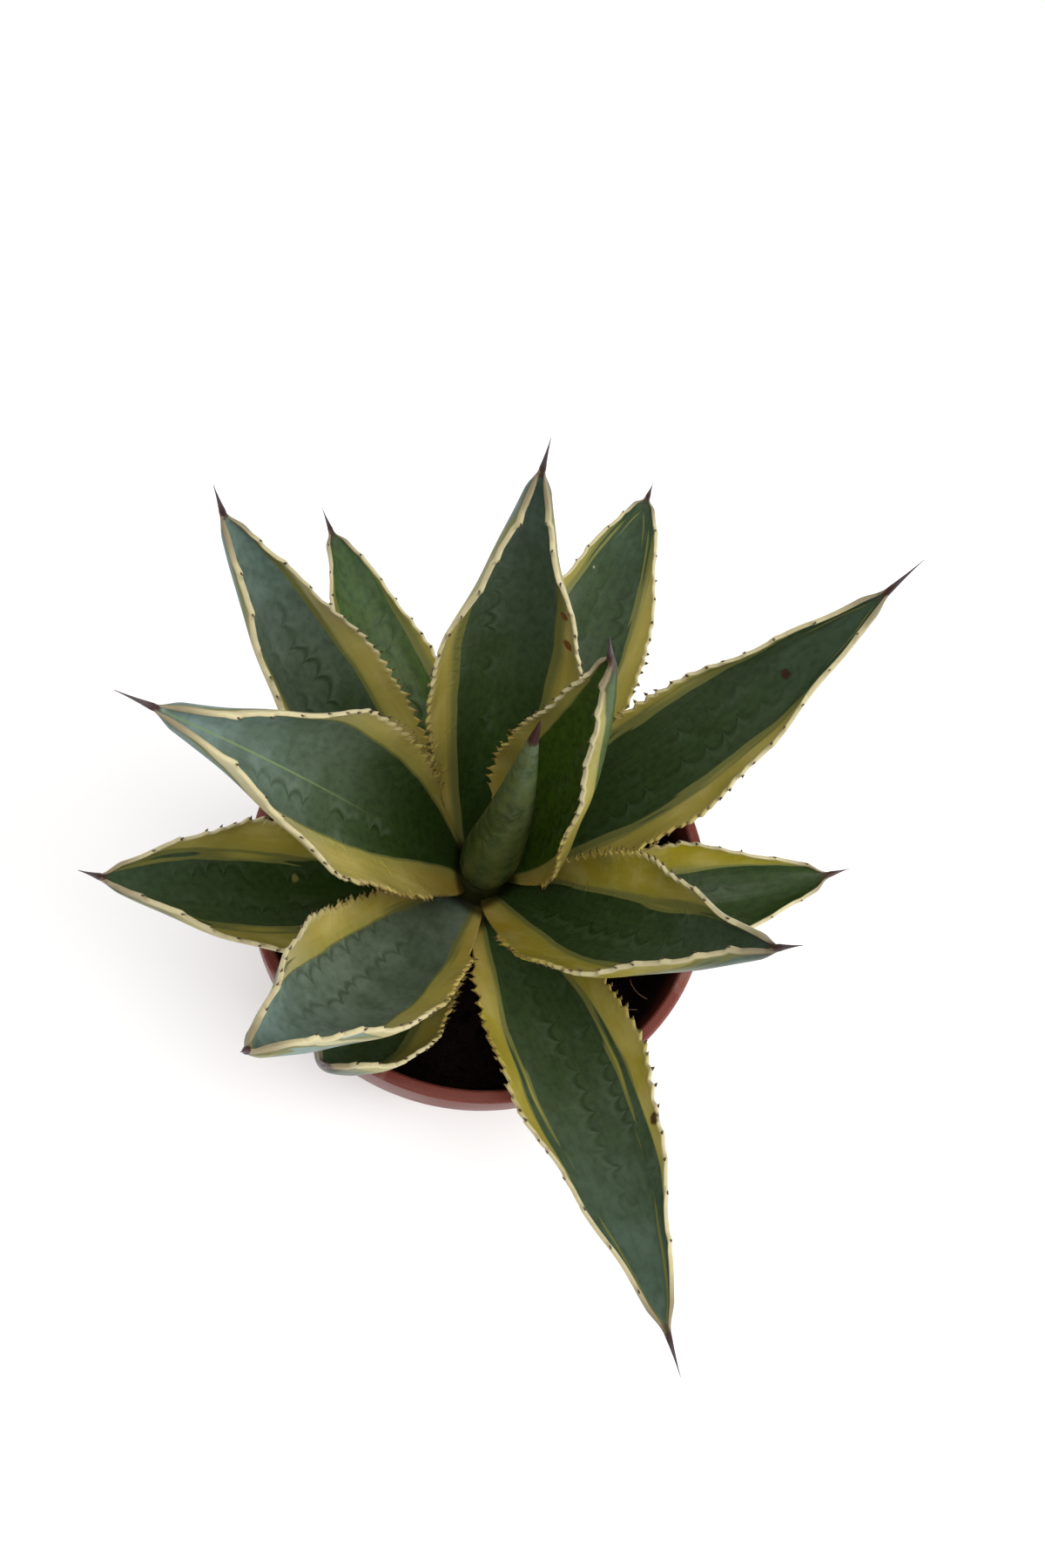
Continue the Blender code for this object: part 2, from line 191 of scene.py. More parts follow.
# %% Write node chains as calls
class Graph:
    """Adds nodes to the tree of a material or a group."""

    def __init__(self, tree):
        self.tree = tree

    def fill(self, node, inputs):
        """Links each input that comes from another node, and sets each one that is a constant."""
        for key, value in inputs.items():
            if isinstance(value, bpy.types.NodeSocket):
                self.tree.links.new(value, node.inputs[key])
            else:
                node.inputs[key].default_value = value
        return node

    def add(self, kind, inputs, **settings):
        node = self.tree.nodes.new(kind)
        for name, value in settings.items():
            setattr(node, name, value)
        return self.fill(node, inputs)

    def maths(self, operation, *values, clamp=False):
        inputs = dict(enumerate(values))
        return self.add("ShaderNodeMath", inputs, operation=operation, use_clamp=clamp).outputs[0]

    def times(self, first, second, clamp=False):
        return self.maths("MULTIPLY", first, second, clamp=clamp)

    def plus(self, first, second):
        return self.maths("ADD", first, second)

    def minus(self, first, second):
        return self.maths("SUBTRACT", first, second)

    def times_plus(self, value, factor, added):
        return self.maths("MULTIPLY_ADD", value, factor, added)

    def mix(self, share, first, second, how="MIX"):
        """Between two colours: the first at share 0, the second at share 1."""
        inputs = {0: share, 6: first, 7: second}
        return self.add("ShaderNodeMix", inputs, data_type="RGBA", blend_type=how).outputs[2]

    def step(self, value, low, high, start=0.0, end=1.0):
        """Goes smoothly from start to end as the value goes from low to high."""
        inputs = {"Value": value, "From Min": low, "From Max": high, "To Min": start, "To Max": end}
        return self.add("ShaderNodeMapRange", inputs, interpolation_type="SMOOTHSTEP").outputs[0]

    def vector(self, x, y, z=0.0):
        return self.add("ShaderNodeCombineXYZ", {0: x, 1: y, 2: z}).outputs[0]

    def parts(self, vector):
        return self.add("ShaderNodeSeparateXYZ", {0: vector}).outputs

    def stretch(self, vector, scale):
        return self.add("ShaderNodeMapping", {"Vector": vector, "Scale": scale}).outputs[0]

    def noise(self, vector, scale, detail=2.0, seed=0.0):
        inputs = {"Vector": vector, "W": seed, "Scale": scale, "Detail": detail}
        return self.add("ShaderNodeTexNoise", inputs, noise_dimensions="4D").outputs[0]

    def place(self, name):
        """One of the coordinates that Blender gives every surface, such as Object."""
        return self.add("ShaderNodeTexCoord", {}).outputs[name]

    def attribute(self, name):
        return self.add("ShaderNodeAttribute", {}, attribute_name=name)

    def group(self, tree, inputs):
        node = self.tree.nodes.new("ShaderNodeGroup")
        node.node_tree = tree
        return self.fill(node, inputs).outputs


# %% [markdown]
# An effect that several finishes share is a node group with named inputs and outputs. These two helpers open
# a new group and close a material: the material keeps its own shader, and the group only gives it values.

# %% Open a group and close a material
FLOAT = "NodeSocketFloat"
COLOUR = "NodeSocketColor"
VECTOR = "NodeSocketVector"


def new_group(name, inputs, outputs):
    """A group with typed sockets. Returns its tree, its graph, its input sockets and its output sockets."""
    tree = bpy.data.node_groups.new(name, "ShaderNodeTree")
    for socket, kind, value in inputs:
        made = tree.interface.new_socket(socket, in_out="INPUT", socket_type=kind)
        made.default_value = value
    for socket, kind in outputs:
        tree.interface.new_socket(socket, in_out="OUTPUT", socket_type=kind)
    entry = tree.nodes.new("NodeGroupInput").outputs
    leave = tree.nodes.new("NodeGroupOutput").inputs
    return tree, Graph(tree), entry, leave


def new_material(name, **constants):
    """A material with a Principled shader whose constant values are set on the shader's own sockets."""
    material = bpy.data.materials.new(name)
    material.use_nodes = True
    graph = Graph(material.node_tree)
    shader = material.node_tree.nodes["Principled BSDF"]
    for socket, value in constants.items():
        shader.inputs[socket.replace("_", " ")].default_value = value
    return material, graph, shader


def wire(graph, shader, colour, roughness, height, depth=MM):
    """Joins a colour, a roughness and a height map, in units of depth, to the shader."""
    bump = graph.add("ShaderNodeBump", {"Height": height, "Distance": depth, "Strength": 1.0})
    graph.tree.links.new(colour, shader.inputs["Base Color"])
    graph.tree.links.new(roughness, shader.inputs["Roughness"])
    graph.tree.links.new(bump.outputs[0], shader.inputs["Normal"])


# %% [markdown]
# ## Fine grain
# Moulded plastic, a waxy leaf and dry peat all have a skin that isn't quite even. One group gives all of
# them a slow mottle, a fine speckle and their height, and each finish sets its own sizes.

# %% Build the grain group
def build_grain():
    sockets = [("Place", VECTOR, (0, 0, 0)), ("Mottle size", FLOAT, 40.0), ("Speckle size", FLOAT, 900.0)]
    sockets.append(("Seed", FLOAT, 0.0))
    made = [("Mottle", FLOAT), ("Speckle", FLOAT), ("Height", FLOAT)]
    tree, graph, entry, leave = new_group("fine_grain", sockets, made)
    mottle = graph.noise(entry["Place"], entry["Mottle size"], 3.0, entry["Seed"])
    speckle = graph.noise(entry["Place"], entry["Speckle size"], 2.0, entry["Seed"])
    height = graph.times_plus(mottle, 0.4, graph.times(speckle, 0.6))
    graph.tree.links.new(graph.step(mottle, 0.35, 0.65), leave["Mottle"])
    graph.tree.links.new(graph.step(speckle, 0.35, 0.65), leave["Speckle"])
    graph.tree.links.new(height, leave["Height"])
    return tree


GRAIN = build_grain()
print("shared group:", GRAIN.name)

# %% [markdown]
# ## Floor
# The floor is a wide pale sheet. It isn't part of the plant, so it is marked as stage. A hint of mottle keeps
# it from looking like bare paper.

# %% Lay the floor
FLOOR_REACH = 4.0


def floor_material():
    material, graph, shader = new_material("pale_floor", Roughness=0.8)
    grain = graph.group(GRAIN, {"Place": graph.place("Object"), "Mottle size": 3.0, "Speckle size": 60.0})
    colour = graph.mix(grain["Mottle"], (0.90, 0.90, 0.89, 1.0), (0.93, 0.93, 0.92, 1.0))
    graph.tree.links.new(colour, shader.inputs["Base Color"])
    return material


sheet = bmesh.new()
bmesh.ops.create_grid(sheet, x_segments=4, y_segments=4, size=FLOOR_REACH)
floor = add_object("floor", sheet)
floor.data.materials.append(floor_material())
floor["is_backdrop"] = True

# %% [markdown]
# ## Pot
# The real pot is moulded from a dyed plastic: a thin wall that leans out, a rim band that steps out under a
# rounded lip, and a flat foot. Turning one profile makes all of it. The heights and widths come from the
# plain solid's box, and the other values are the ones that the mould sets: its wall, its band and its lip.

# %% Draw the pot's profile
pot_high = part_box("pot")[1]
POT_HEIGHT = pot_high.z
RIM_RADIUS = pot_high.x
BASE_RADIUS = 66 * MM
POT_WALL = 2.5 * MM
POT_FLOOR = 3.0 * MM
BAND_HEIGHT = 23 * MM
BAND_TAPER = 1.2 * MM
LIP_WIDTH = 5.5 * MM
LIP_ROUNDING = 1.4 * MM
BASE_ROUNDING = 4.0 * MM
BEAD_DEPTH = 0.5 * MM


def pot_inner_radius(z):
    """Radius of the inner wall at a height: a straight taper from the floor to the lip."""
    bottom = BASE_RADIUS - POT_WALL
    return bottom + (RIM_RADIUS - LIP_WIDTH - bottom) * z / POT_HEIGHT


def pot_profile():
    """Inner floor, inner wall, lip, band, outer wall with two shallow grooves, and the underside."""
    band_foot = POT_HEIGHT - BAND_HEIGHT
    lip_z = POT_HEIGHT - LIP_ROUNDING
    inner_corner = pot_inner_radius(POT_FLOOR) - BASE_ROUNDING
    wall_top = pot_inner_radius(band_foot) + POT_WALL
    profile = [(0.0, POT_FLOOR)]
    profile += arc((inner_corner, POT_FLOOR + BASE_ROUNDING), BASE_ROUNDING, -90, -12, 6)
    profile += arc((RIM_RADIUS - LIP_WIDTH + LIP_ROUNDING, lip_z), LIP_ROUNDING, 180, 90, 6)
    profile += arc((RIM_RADIUS - LIP_ROUNDING, lip_z), LIP_ROUNDING, 90, 0, 6)
    band_out = RIM_RADIUS - BAND_TAPER - LIP_ROUNDING
    profile += arc((band_out, band_foot + LIP_ROUNDING), LIP_ROUNDING, 0, -90, 6)
    profile += arc((wall_top + LIP_ROUNDING, band_foot - LIP_ROUNDING), LIP_ROUNDING, 90, 180, 4)
    for height in (0.76, 0.72):
        z = POT_HEIGHT * height
        for rise, depth in ((1.2, 0.0), (0.5, BEAD_DEPTH), (-0.5, BEAD_DEPTH), (-1.2, 0.0)):
            profile.append((pot_inner_radius(z + rise * MM) + POT_WALL - depth, z + rise * MM))
    profile += arc((BASE_RADIUS - BASE_ROUNDING, BASE_ROUNDING), BASE_ROUNDING, -8, -90, 6)
    profile.append((0.0, 0.0))
    return profile


print("pot:", round(2 * RIM_RADIUS / MM), "mm across,", round(POT_HEIGHT / MM), "mm high")

# %% [markdown]
# Water leaves the pot through six round holes in its floor. A cylinder is set at each place, and one Boolean
# cuts them all at once. The cutter is removed when its work is done.

# %% Turn the pot and cut its drain holes
DRAIN_HOLES = 6
DRAIN_RADIUS = 5.5 * MM
DRAIN_CIRCLE = 42 * MM
POT_STEPS = 144


def cut_holes(pot):
    form = bmesh.new()
    for number in range(DRAIN_HOLES):
        turn = Matrix.Rotation(math.tau * number / DRAIN_HOLES, 4, "Z")
        place = turn @ Matrix.Translation((DRAIN_CIRCLE, 0, POT_FLOOR / 2))
        bmesh.ops.create_cone(
            form, cap_ends=True, segments=32, radius1=DRAIN_RADIUS, radius2=DRAIN_RADIUS,
            depth=4 * POT_FLOOR, matrix=place,
        )
    cutter = add_object("drain_cutter", form)
    boolean = pot.modifiers.new("Drain", "BOOLEAN")
    boolean.operation = "DIFFERENCE"
    boolean.object = cutter
    graph = bpy.context.evaluated_depsgraph_get()
    cut = bpy.data.meshes.new_from_object(pot.evaluated_get(graph))
    pot.modifiers.clear()
    pot.data = cut
    bpy.data.objects.remove(cutter, do_unlink=True)


pot = add_object("plastic_pot", spin_profile(pot_profile(), POT_STEPS))
cut_holes(pot)
pot.data.set_sharp_from_angle(angle=math.radians(40))

# %% [markdown]
# The plastic is a dusty brick red with a satin skin. It is duller where hands and watering have scuffed it,
# paler with dried minerals near the lip and the foot, and inside it has painted shade that deepens below the
# lip.

# %% Give the pot its finish
def pot_material():
    material, graph, shader = new_material("terracotta_plastic", Specular_IOR_Level=0.25)
    place = graph.place("Object")
    grain = graph.group(GRAIN, {"Place": place, "Mottle size": 28.0, "Speckle size": 1400.0})
    x, y, z = graph.parts(place)
    ring = graph.noise(graph.stretch(place, (4.0, 4.0, 260.0)), 1.0, 2.0)
    radius = graph.maths("SQRT", graph.plus(graph.times(x, x), graph.times(y, y)))
    colour = graph.mix(grain["Mottle"], (0.110, 0.018, 0.011, 1.0), (0.145, 0.027, 0.017, 1.0))
    colour = graph.mix(graph.times(grain["Speckle"], 0.25), colour, (0.23, 0.070, 0.050, 1.0))
    scuff = graph.step(graph.noise(graph.stretch(place, (1.0, 1.0, 0.25)), 60.0, 5.0, 3.0), 0.56, 0.72)
    foot = graph.step(z, 0.0, 0.030, 0.65, 0.0)
    lip = graph.step(z, POT_HEIGHT - 0.004, POT_HEIGHT, 0.0, 0.45)
    dust = graph.times(graph.plus(graph.plus(foot, lip), 0.18), scuff, clamp=True)
    colour = graph.mix(dust, colour, (0.31, 0.175, 0.135, 1.0))
    # The wall is inside where it stands nearer the axis than the middle of its thickness.
    slope = (pot_inner_radius(POT_HEIGHT) - pot_inner_radius(0.0)) / POT_HEIGHT
    middle = graph.times_plus(z, slope, pot_inner_radius(0.0) + POT_WALL / 2)
    inside = graph.maths("LESS_THAN", radius, middle)
    # Painted shade: the inner wall is mixed towards near black, more so further below the lip.
    painted_inner_shade = graph.times(inside, graph.step(z, POT_HEIGHT - 0.016, POT_HEIGHT - 0.002, 0.95, 0.3))
    colour = graph.mix(painted_inner_shade, colour, (0.004, 0.0013, 0.001, 1.0))
    roughness = graph.times_plus(dust, 0.3, graph.step(grain["Mottle"], 0.0, 1.0, 0.42, 0.54))
    height = graph.plus(graph.times(grain["Height"], 0.05), graph.times(ring, 0.03))
    wire(graph, shader, colour, roughness, height)
    return material


stand_for(pot, "pot", pot_material())

# %% [markdown]
# ## Potting soil
# The soil is a dark peat mix that fills the pot to about four centimetres below the lip. A turned form
# with many rings gives it a body and an even skin of faces on top, and each point there is then lifted by
# noise into crumbs. Loose crumbs, a few bark chips and two pale root fibres lie on it.

# %% Turn the body of the soil
soil_low, soil_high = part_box("potting_soil")
SOIL_EDGE_DROP = 2.4 * MM
SOIL_GAP = 0.4 * MM
SOIL_RINGS = 64
SOIL_STEPS = 160


def soil_level(radius):
    """Height of the soil at a distance from the axis, a little lower at the wall."""
    top_radius = pot_inner_radius(soil_high.z - SOIL_EDGE_DROP)
    return soil_high.z - SOIL_EDGE_DROP * (radius / top_radius) ** 2


def soil_profile():
    edge = pot_inner_radius(soil_high.z - SOIL_EDGE_DROP) - SOIL_GAP
    radii = [edge * ring / SOIL_RINGS for ring in range(SOIL_RINGS + 1)]
    profile = [(radius, soil_level(radius)) for radius in radii]
    for share in (0.75, 0.5, 0.25):
        z = soil_high.z * share
        profile.append((pot_inner_radius(z) - SOIL_GAP, z))
    profile.append((pot_inner_radius(soil_low.z) - BASE_ROUNDING, soil_low.z))
    profile.append((0.0, soil_low.z))
    return profile


def rough_soil(form, rng):
    """Lifts and drops the points of the top by layered waves with random directions."""
    waves = []
    for size in (26, 15, 9, 6, 4.5, 3.5):
        for _ in range(5):
            turn = rng.uniform(0, math.tau)
            count = math.tau / (size * MM)
            waves.append((math.cos(turn) * count, math.sin(turn) * count, rng.uniform(0, math.tau), size))
    for point in form.verts:
        radius = math.hypot(point.co.x, point.co.y)
        if point.co.z > soil_high.z - 2 * SOIL_EDGE_DROP:
            lift = sum(math.sin(point.co.x * a + point.co.y * b + c) * size for a, b, c, size in waves)
            point.co.z = soil_level(radius) + lift * 0.012 * MM - 0.6 * MM


soil_rng = random.Random(11)
soil_form = spin_profile(soil_profile(), SOIL_STEPS)
rough_soil(soil_form, soil_rng)

# %% [markdown]
# Crumbs are small round stones of peat: a coarse ball with its points pushed in and out. A few dozen faces
# each are enough, because there are hundreds of them. Bark chips are flattened boxes. Both are sunk a third
# of the way into the soil, so that they lie in it and not on it.

# %% Scatter crumbs and chips
CRUMBS = 620
CHIPS = 46


def scatter_place(rng):
    """A random place on the soil, evenly spread, clear of the stem and the wall."""
    reach = pot_inner_radius(soil_high.z) - 5 * MM
    radius = reach * math.sqrt(rng.uniform(0.06, 1.0))
    angle = rng.uniform(0, math.tau)
    return Vector((radius * math.cos(angle), radius * math.sin(angle), soil_level(radius)))


def random_turn(rng):
    axis = Vector((rng.uniform(-1, 1), rng.uniform(-1, 1), rng.uniform(-1, 1)))
    return Matrix.Rotation(rng.uniform(0, math.tau), 4, axis.normalized())


def add_crumb(form, rng):
    size = MM * rng.choice((0.8, 1.0, 1.3, 1.7, 2.3)) * rng.uniform(0.8, 1.2)
    squash = Matrix.Diagonal((rng.uniform(0.8, 1.2), rng.uniform(0.7, 1.0), rng.uniform(0.6, 0.9), 1))
    place = Matrix.Translation(scatter_place(rng) + Vector((0, 0, 0.2 * size)))
    ball = bmesh.ops.create_icosphere(
        form, subdivisions=1, radius=size, matrix=place @ random_turn(rng) @ squash
    )
    for point in ball["verts"]:
        point.co += Vector((rng.uniform(-1, 1), rng.uniform(-1, 1), rng.uniform(-1, 1))) * size * 0.16


def add_chip(form, rng):
    long = MM * rng.uniform(3.0, 7.0)
    size = Matrix.Diagonal((long, long * rng.uniform(0.35, 0.6), MM * rng.uniform(0.8, 1.5), 1))
    tilt = Matrix.Rotation(rng.uniform(-0.5, 0.5), 4, "X") @ Matrix.Rotation(rng.uniform(-0.4, 0.4), 4, "Y")
    turn = Matrix.Rotation(rng.uniform(0, math.tau), 4, "Z")
    place = Matrix.Translation(scatter_place(rng) + Vector((0, 0, 0.3 * MM)))
    chip = bmesh.ops.create_cube(form, size=1.0, matrix=place @ turn @ tilt @ size)
    edges = list({edge for point in chip["verts"] for edge in point.link_edges})
    bmesh.ops.bevel(
        form, geom=edges, offset=0.25 * MM, segments=1, profile=0.5, affect="EDGES", material=-1
    )


for _ in range(CRUMBS):
    add_crumb(soil_form, soil_rng)
for _ in range(CHIPS):
    add_chip(soil_form, soil_rng)
print("soil:", CRUMBS, "crumbs and", CHIPS, "chips")

# %% [markdown]
# Two dry root fibres hang from the right wall over the soil. Each starts as a small disc that is extruded and
# turned again and again, so it ends up as a closed, bent thread. A layer of the mesh marks their points, and
# the finish paints them pale.

# %% Lay the root fibres
FIBRE_RADIUS = 0.22 * MM
FIBRE_STEPS = 14
FIBRES = [
    # start, direction in degrees, length, bend in degrees and drop
    (Vector((88.5, -19, 17.0)), 170, 13, -60, 6),
    (Vector((88.5, -24, 14.0)), 176, 11, 45, 4),
]


def add_fibre(form, start, direction, length, bend, drop):
    """Extrudes a disc along a bent line. Returns how many points it added."""
    before = len(form.verts)
    start = Vector((start.x * MM, start.y * MM, soil_level(start.xy.length * MM) + start.z * MM))
    turn = Matrix.Rotation(math.radians(direction), 4, "Z")
    stand = turn @ Matrix.Rotation(math.radians(90), 4, "Y")
    disc = bmesh.ops.create_circle(
        form, cap_ends=True, segments=6, radius=FIBRE_RADIUS, matrix=Matrix.Translation(start) @ stand
    )
    face = disc["verts"][0].link_faces[0]
    step = turn @ Vector((length, 0, -drop)) * MM / FIBRE_STEPS
    swing = Matrix.Rotation(math.radians(bend / FIBRE_STEPS), 3, "Z")
    for _ in range(FIBRE_STEPS):
        made = bmesh.ops.extrude_face_region(form, geom=[face])["geom"]
        points = [item for item in made if isinstance(item, bmesh.types.BMVert)]
        face = next(item for item in made if isinstance(item, bmesh.types.BMFace))
        bmesh.ops.translate(form, verts=points, vec=step)
        bmesh.ops.rotate(form, verts=points, cent=face.calc_center_median(), matrix=swing)
        step = swing @ step
    return len(form.verts) - before


fibre_points = sum(add_fibre(soil_form, *fibre) for fibre in FIBRES)
bmesh.ops.recalc_face_normals(soil_form, faces=soil_form.faces[:])
soil = add_object("peat_soil", soil_form)
fibre_mask = np.zeros(len(soil.data.vertices), np.float32)
fibre_mask[-fibre_points:] = 1.0
soil.data.attributes.new("fibre", "FLOAT", "POINT").data.foreach_set("value", fibre_mask)

# %% [markdown]
# Peat is dark when it is damp, with browner crumbs where it dries, and its colour here is made nearly black
# to paint the shade inside the pot. It scatters light and hardly shines, so its roughness stays high, with a
# faint gleam in the wet hollows.

# %% Give the soil its finish
def soil_material():
    material, graph, shader = new_material("damp_peat_and_shade", Specular_IOR_Level=0.03)
    place = graph.place("Object")
    grain = graph.group(GRAIN, {"Place": place, "Mottle size": 140.0, "Speckle size": 1100.0})
    # Painted shade: the peat's colours are set nearly black, for the shade that lies inside the pot.
    colour = graph.mix(grain["Mottle"], (0.0018, 0.0010, 0.0009, 1.0), (0.0060, 0.0035, 0.0026, 1.0))
    colour = graph.mix(graph.times(grain["Speckle"], 0.35), colour, (0.017, 0.009, 0.006, 1.0))
    colour = graph.mix(graph.attribute("fibre").outputs["Fac"], colour, (0.30, 0.17, 0.10, 1.0))
    roughness = graph.step(grain["Mottle"], 0.0, 1.0, 0.78, 0.95)
    wire(graph, shader, colour, roughness, graph.times(grain["Speckle"], 0.3))
    return material


stand_for(soil, "potting_soil", soil_material())

# %% [markdown]
# ## Stem
# The stem is short and thick and hides between the leaf bases. Old leaves leave scars round it, so its
# profile has a shallow step for each seat. It is turned, like the pot.

# %% Turn the stem
stem_low, stem_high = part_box("stem")
LEAF_COUNT = 13
SEAT_PITCH = 2.5 * MM
SEAT_SPREAD = 0.9 * MM
INNER_SEAT_RADIUS = 9.0 * MM
CROWN_HEIGHT = stem_high.z + 0.8 * MM
STEM_SWELL = 0.6 * MM
SCAR_DEPTH = 0.35 * MM


def stem_profile():
    profile = [(0.0, stem_high.z), (INNER_SEAT_RADIUS - 2 * MM, stem_high.z)]
    for seat in range(1, LEAF_COUNT + 1):
        radius = INNER_SEAT_RADIUS + SEAT_SPREAD * seat + STEM_SWELL
        height = CROWN_HEIGHT - SEAT_PITCH * seat
        profile.append((radius, height + SEAT_PITCH * 0.25))
        profile.append((radius - SCAR_DEPTH, height - SEAT_PITCH * 0.15))
    neck = INNER_SEAT_RADIUS + SEAT_SPREAD * LEAF_COUNT
    profile.append((neck, soil_high.z - 9 * MM))
    profile.append((neck * 0.45, stem_low.z + 4.5 * MM))
    profile.append((neck * 0.22, stem_low.z))
    profile.append((0.0, stem_low.z))
    return profile


def stem_material():
    material, graph, shader = new_material("stem_skin", Specular_IOR_Level=0.1)
    place = graph.place("Object")
    grain = graph.group(GRAIN, {"Place": place, "Mottle size": 90.0, "Speckle size": 900.0})
    # Painted shade: the stem is very dark, and darker still towards the soil, for the shade between the leaf
    # bases; the brown there is also a dry base.
    dry_base_and_shade = graph.step(graph.parts(place)[2], soil_high.z, CROWN_HEIGHT, 1.0, 0.2)
    colour = graph.mix(grain["Mottle"], (0.012, 0.016, 0.003, 1.0), (0.030, 0.030, 0.006, 1.0))
    colour = graph.mix(graph.times(dry_base_and_shade, 0.8), colour, (0.009, 0.005, 0.003, 1.0))
    wire(graph, shader, colour, graph.step(grain["Mottle"], 0.0, 1.0, 0.5, 0.7), grain["Height"], 0.3 * MM)
    return material


stem = add_object("short_stem", spin_profile(stem_profile(), 72))
stand_for(stem, "stem", stem_material())

# %% [markdown]
# ## Shapes of the open leaves
# A leaf is a long channel: nearly flat where it leaves the stem, folded where it ends. Ten values say how
# one leaf differs from the next, and they are the same ones as the plain solids have, in degrees and
# millimetres. The leaves follow each other by the golden angle, from the innermost to the outermost.

# %% List the leaves
Leaf = namedtuple("Leaf", "lean rise_base rise_tip length width cup_tip roll swing widest spine")

LEAVES = [
    #    lean, base, tip, length, width, cup, roll, swing, widest, spine
    Leaf(-15, 70, 103, 180, 60, 100, 0, -14, 0.32, 14),
    Leaf(3, 58, 54, 209, 68, 145, 32, 10, 0.55, 17),
    Leaf(-4, 46, 72, 193, 63, 130, -18, -2, 0.46, 14),
    Leaf(-3, 57, 89, 209, 65, 137, 11, 11, 0.54, 16),
    Leaf(1, 35, 68, 223, 62, 109, 2, 0, 0.55, 6),
    Leaf(13, 41, 62, 210, 58, 100, -9, 6, 0.48, 17),
    Leaf(-2, 29, 75, 203, 61, 91, -2, 1, 0.50, 13),
    Leaf(9, 22, 18, 197, 62, 81, -10, -13, 0.47, 14),
    Leaf(4, 31, -9, 196, 61, 87, 0, 4, 0.51, 9),
    Leaf(-5, 19, 61, 181, 63, 78, 3, 5, 0.55, 12),
    Leaf(7, 37, -3, 145, 49, 74, -6, 35, 0.55, 9),
    Leaf(6, 40, -10, 166, 49, 89, -1, -12, 0.47, 13),
    Leaf(-16, 17, 80, 166, 55, 71, 6, 6, 0.56, 5),
]
FIRST_AZIMUTH = 62.0
GOLDEN_ANGLE = 137.5
NECK_WIDTH = 20.5 * MM
TIP_WIDTH = 2.4 * MM
BASE_THICKNESS = 6.0 * MM
TIP_THICKNESS = 2.6 * MM
MARGIN_THICKNESS = 1.2 * MM
ROOT_LENGTH = 6.0 * MM
ROOT_NARROWING = 0.6
print(len(LEAVES), "open leaves, the longest", max(leaf.length for leaf in LEAVES), "mm")

# %% [markdown]
# Three rules shape the channel along its length: how wide it is, how far it is folded and how thick it is.
# They take whole arrays of places at once, because numpy bends thousands of points in one call.

# %% Width and fold along a leaf
def smooth(value, low, high):
    """0 below low, 1 above high, and an S curve between them."""
    share = np.clip((value - low) / (high - low), 0.0, 1.0)
    return share * share * (3.0 - 2.0 * share)


def blade_width(leaf, share):
    """The neck, a quick swell to the widest place and a long taper to the tip, in metres."""
    width = leaf.width * MM
    swell = np.sin(np.clip(share / leaf.widest, 0, 1) * math.pi / 2) ** 0.9
    taper = np.clip((share - leaf.widest) / (1 - leaf.widest), 0, 1) ** 1.38
    return np.where(
        share < leaf.widest, NECK_WIDTH + (width - NECK_WIDTH) * swell, width - (width - TIP_WIDTH) * taper
    )


def blade_cup(leaf, share):
    """Half the angle that the channel spans, in radians."""
    opening = 15 + 40 * np.sin(np.clip(share, 0, 0.5) * math.pi)
    closing = 55 + (leaf.cup_tip - 55) * np.clip((share - 0.5) / 0.5, 0, 1) ** 1.5
    return np.radians(np.where(share < 0.5, opening, closing))


# %% [markdown]
# The midrib is walked in small steps. At each place three unit vectors say which way the leaf runs, which
# way is across it and which way its upper face looks.

# %% Walk along the midrib
WALK_STEPS = 400


def heading(leaf, azimuth, share):
    """Unit vectors along the midrib, across the blade and out of its upper face, one row each."""
    turn = np.radians(azimuth + leaf.swing * share)
    rise = np.radians(leaf.rise_base + (leaf.rise_tip - leaf.rise_base) * share)
    along = np.stack([np.cos(rise) * np.cos(turn), np.cos(rise) * np.sin(turn), np.sin(rise)], axis=-1)
    level = np.stack([np.sin(turn), -np.cos(turn), np.zeros_like(turn)], axis=-1)
    roll = (np.radians(leaf.roll) * np.sin(share * math.pi / 2))[:, None]
    across = level * np.cos(roll) + np.cross(level, along) * np.sin(roll)
    return along, across, np.cross(across, along)


def walk_midrib(leaf, number):
    """Distances from the seat in metres, and the place and the three directions at each of them."""
    azimuth = FIRST_AZIMUTH + GOLDEN_ANGLE * number + leaf.lean
    length = leaf.length * MM
    reach = np.linspace(-ROOT_LENGTH, length + leaf.spine * MM, WALK_STEPS + 1)
    middles = (reach[1:] + reach[:-1]) / 2
    steps = heading(leaf, azimuth, np.clip(middles / length, 0, 1))[0] * np.diff(reach)[:, None]
    places = np.vstack([np.zeros(3), np.cumsum(steps, axis=0)])
    turn = math.radians(azimuth)
    radius = INNER_SEAT_RADIUS + SEAT_SPREAD * number
    seat = np.array([math.cos(turn) * radius, math.sin(turn) * radius, CROWN_HEIGHT - SEAT_PITCH * number])
    root = seat - heading(leaf, azimuth, np.zeros(1))[0][0] * ROOT_LENGTH
    return reach, places + root, heading(leaf, azimuth, np.clip(reach / length, 0, 1))


def at_reach(walk, reach):
    """The place and the three directions at any distances, read between the steps of the walk."""
    stations, places, directions = walk
    read = []
    for rows in (places, *directions):
        read.append(np.stack([np.interp(reach, stations, rows[:, axis]) for axis in range(3)], axis=-1))
    return read


# %% [markdown]
# ## Teeth
# The margin of an agave carries hooked teeth. In the lower half they stand close together on fleshy bumps,
# and towards the tip they are small, dark and far apart. Each side of each leaf gets its own row of places
# and sizes, drawn from a seeded generator so that every run is the same.

# %% Set out the teeth of one margin
Tooth = namedtuple("Tooth", "reach size hook")
TOOTH_PITCH = 5.2 * MM


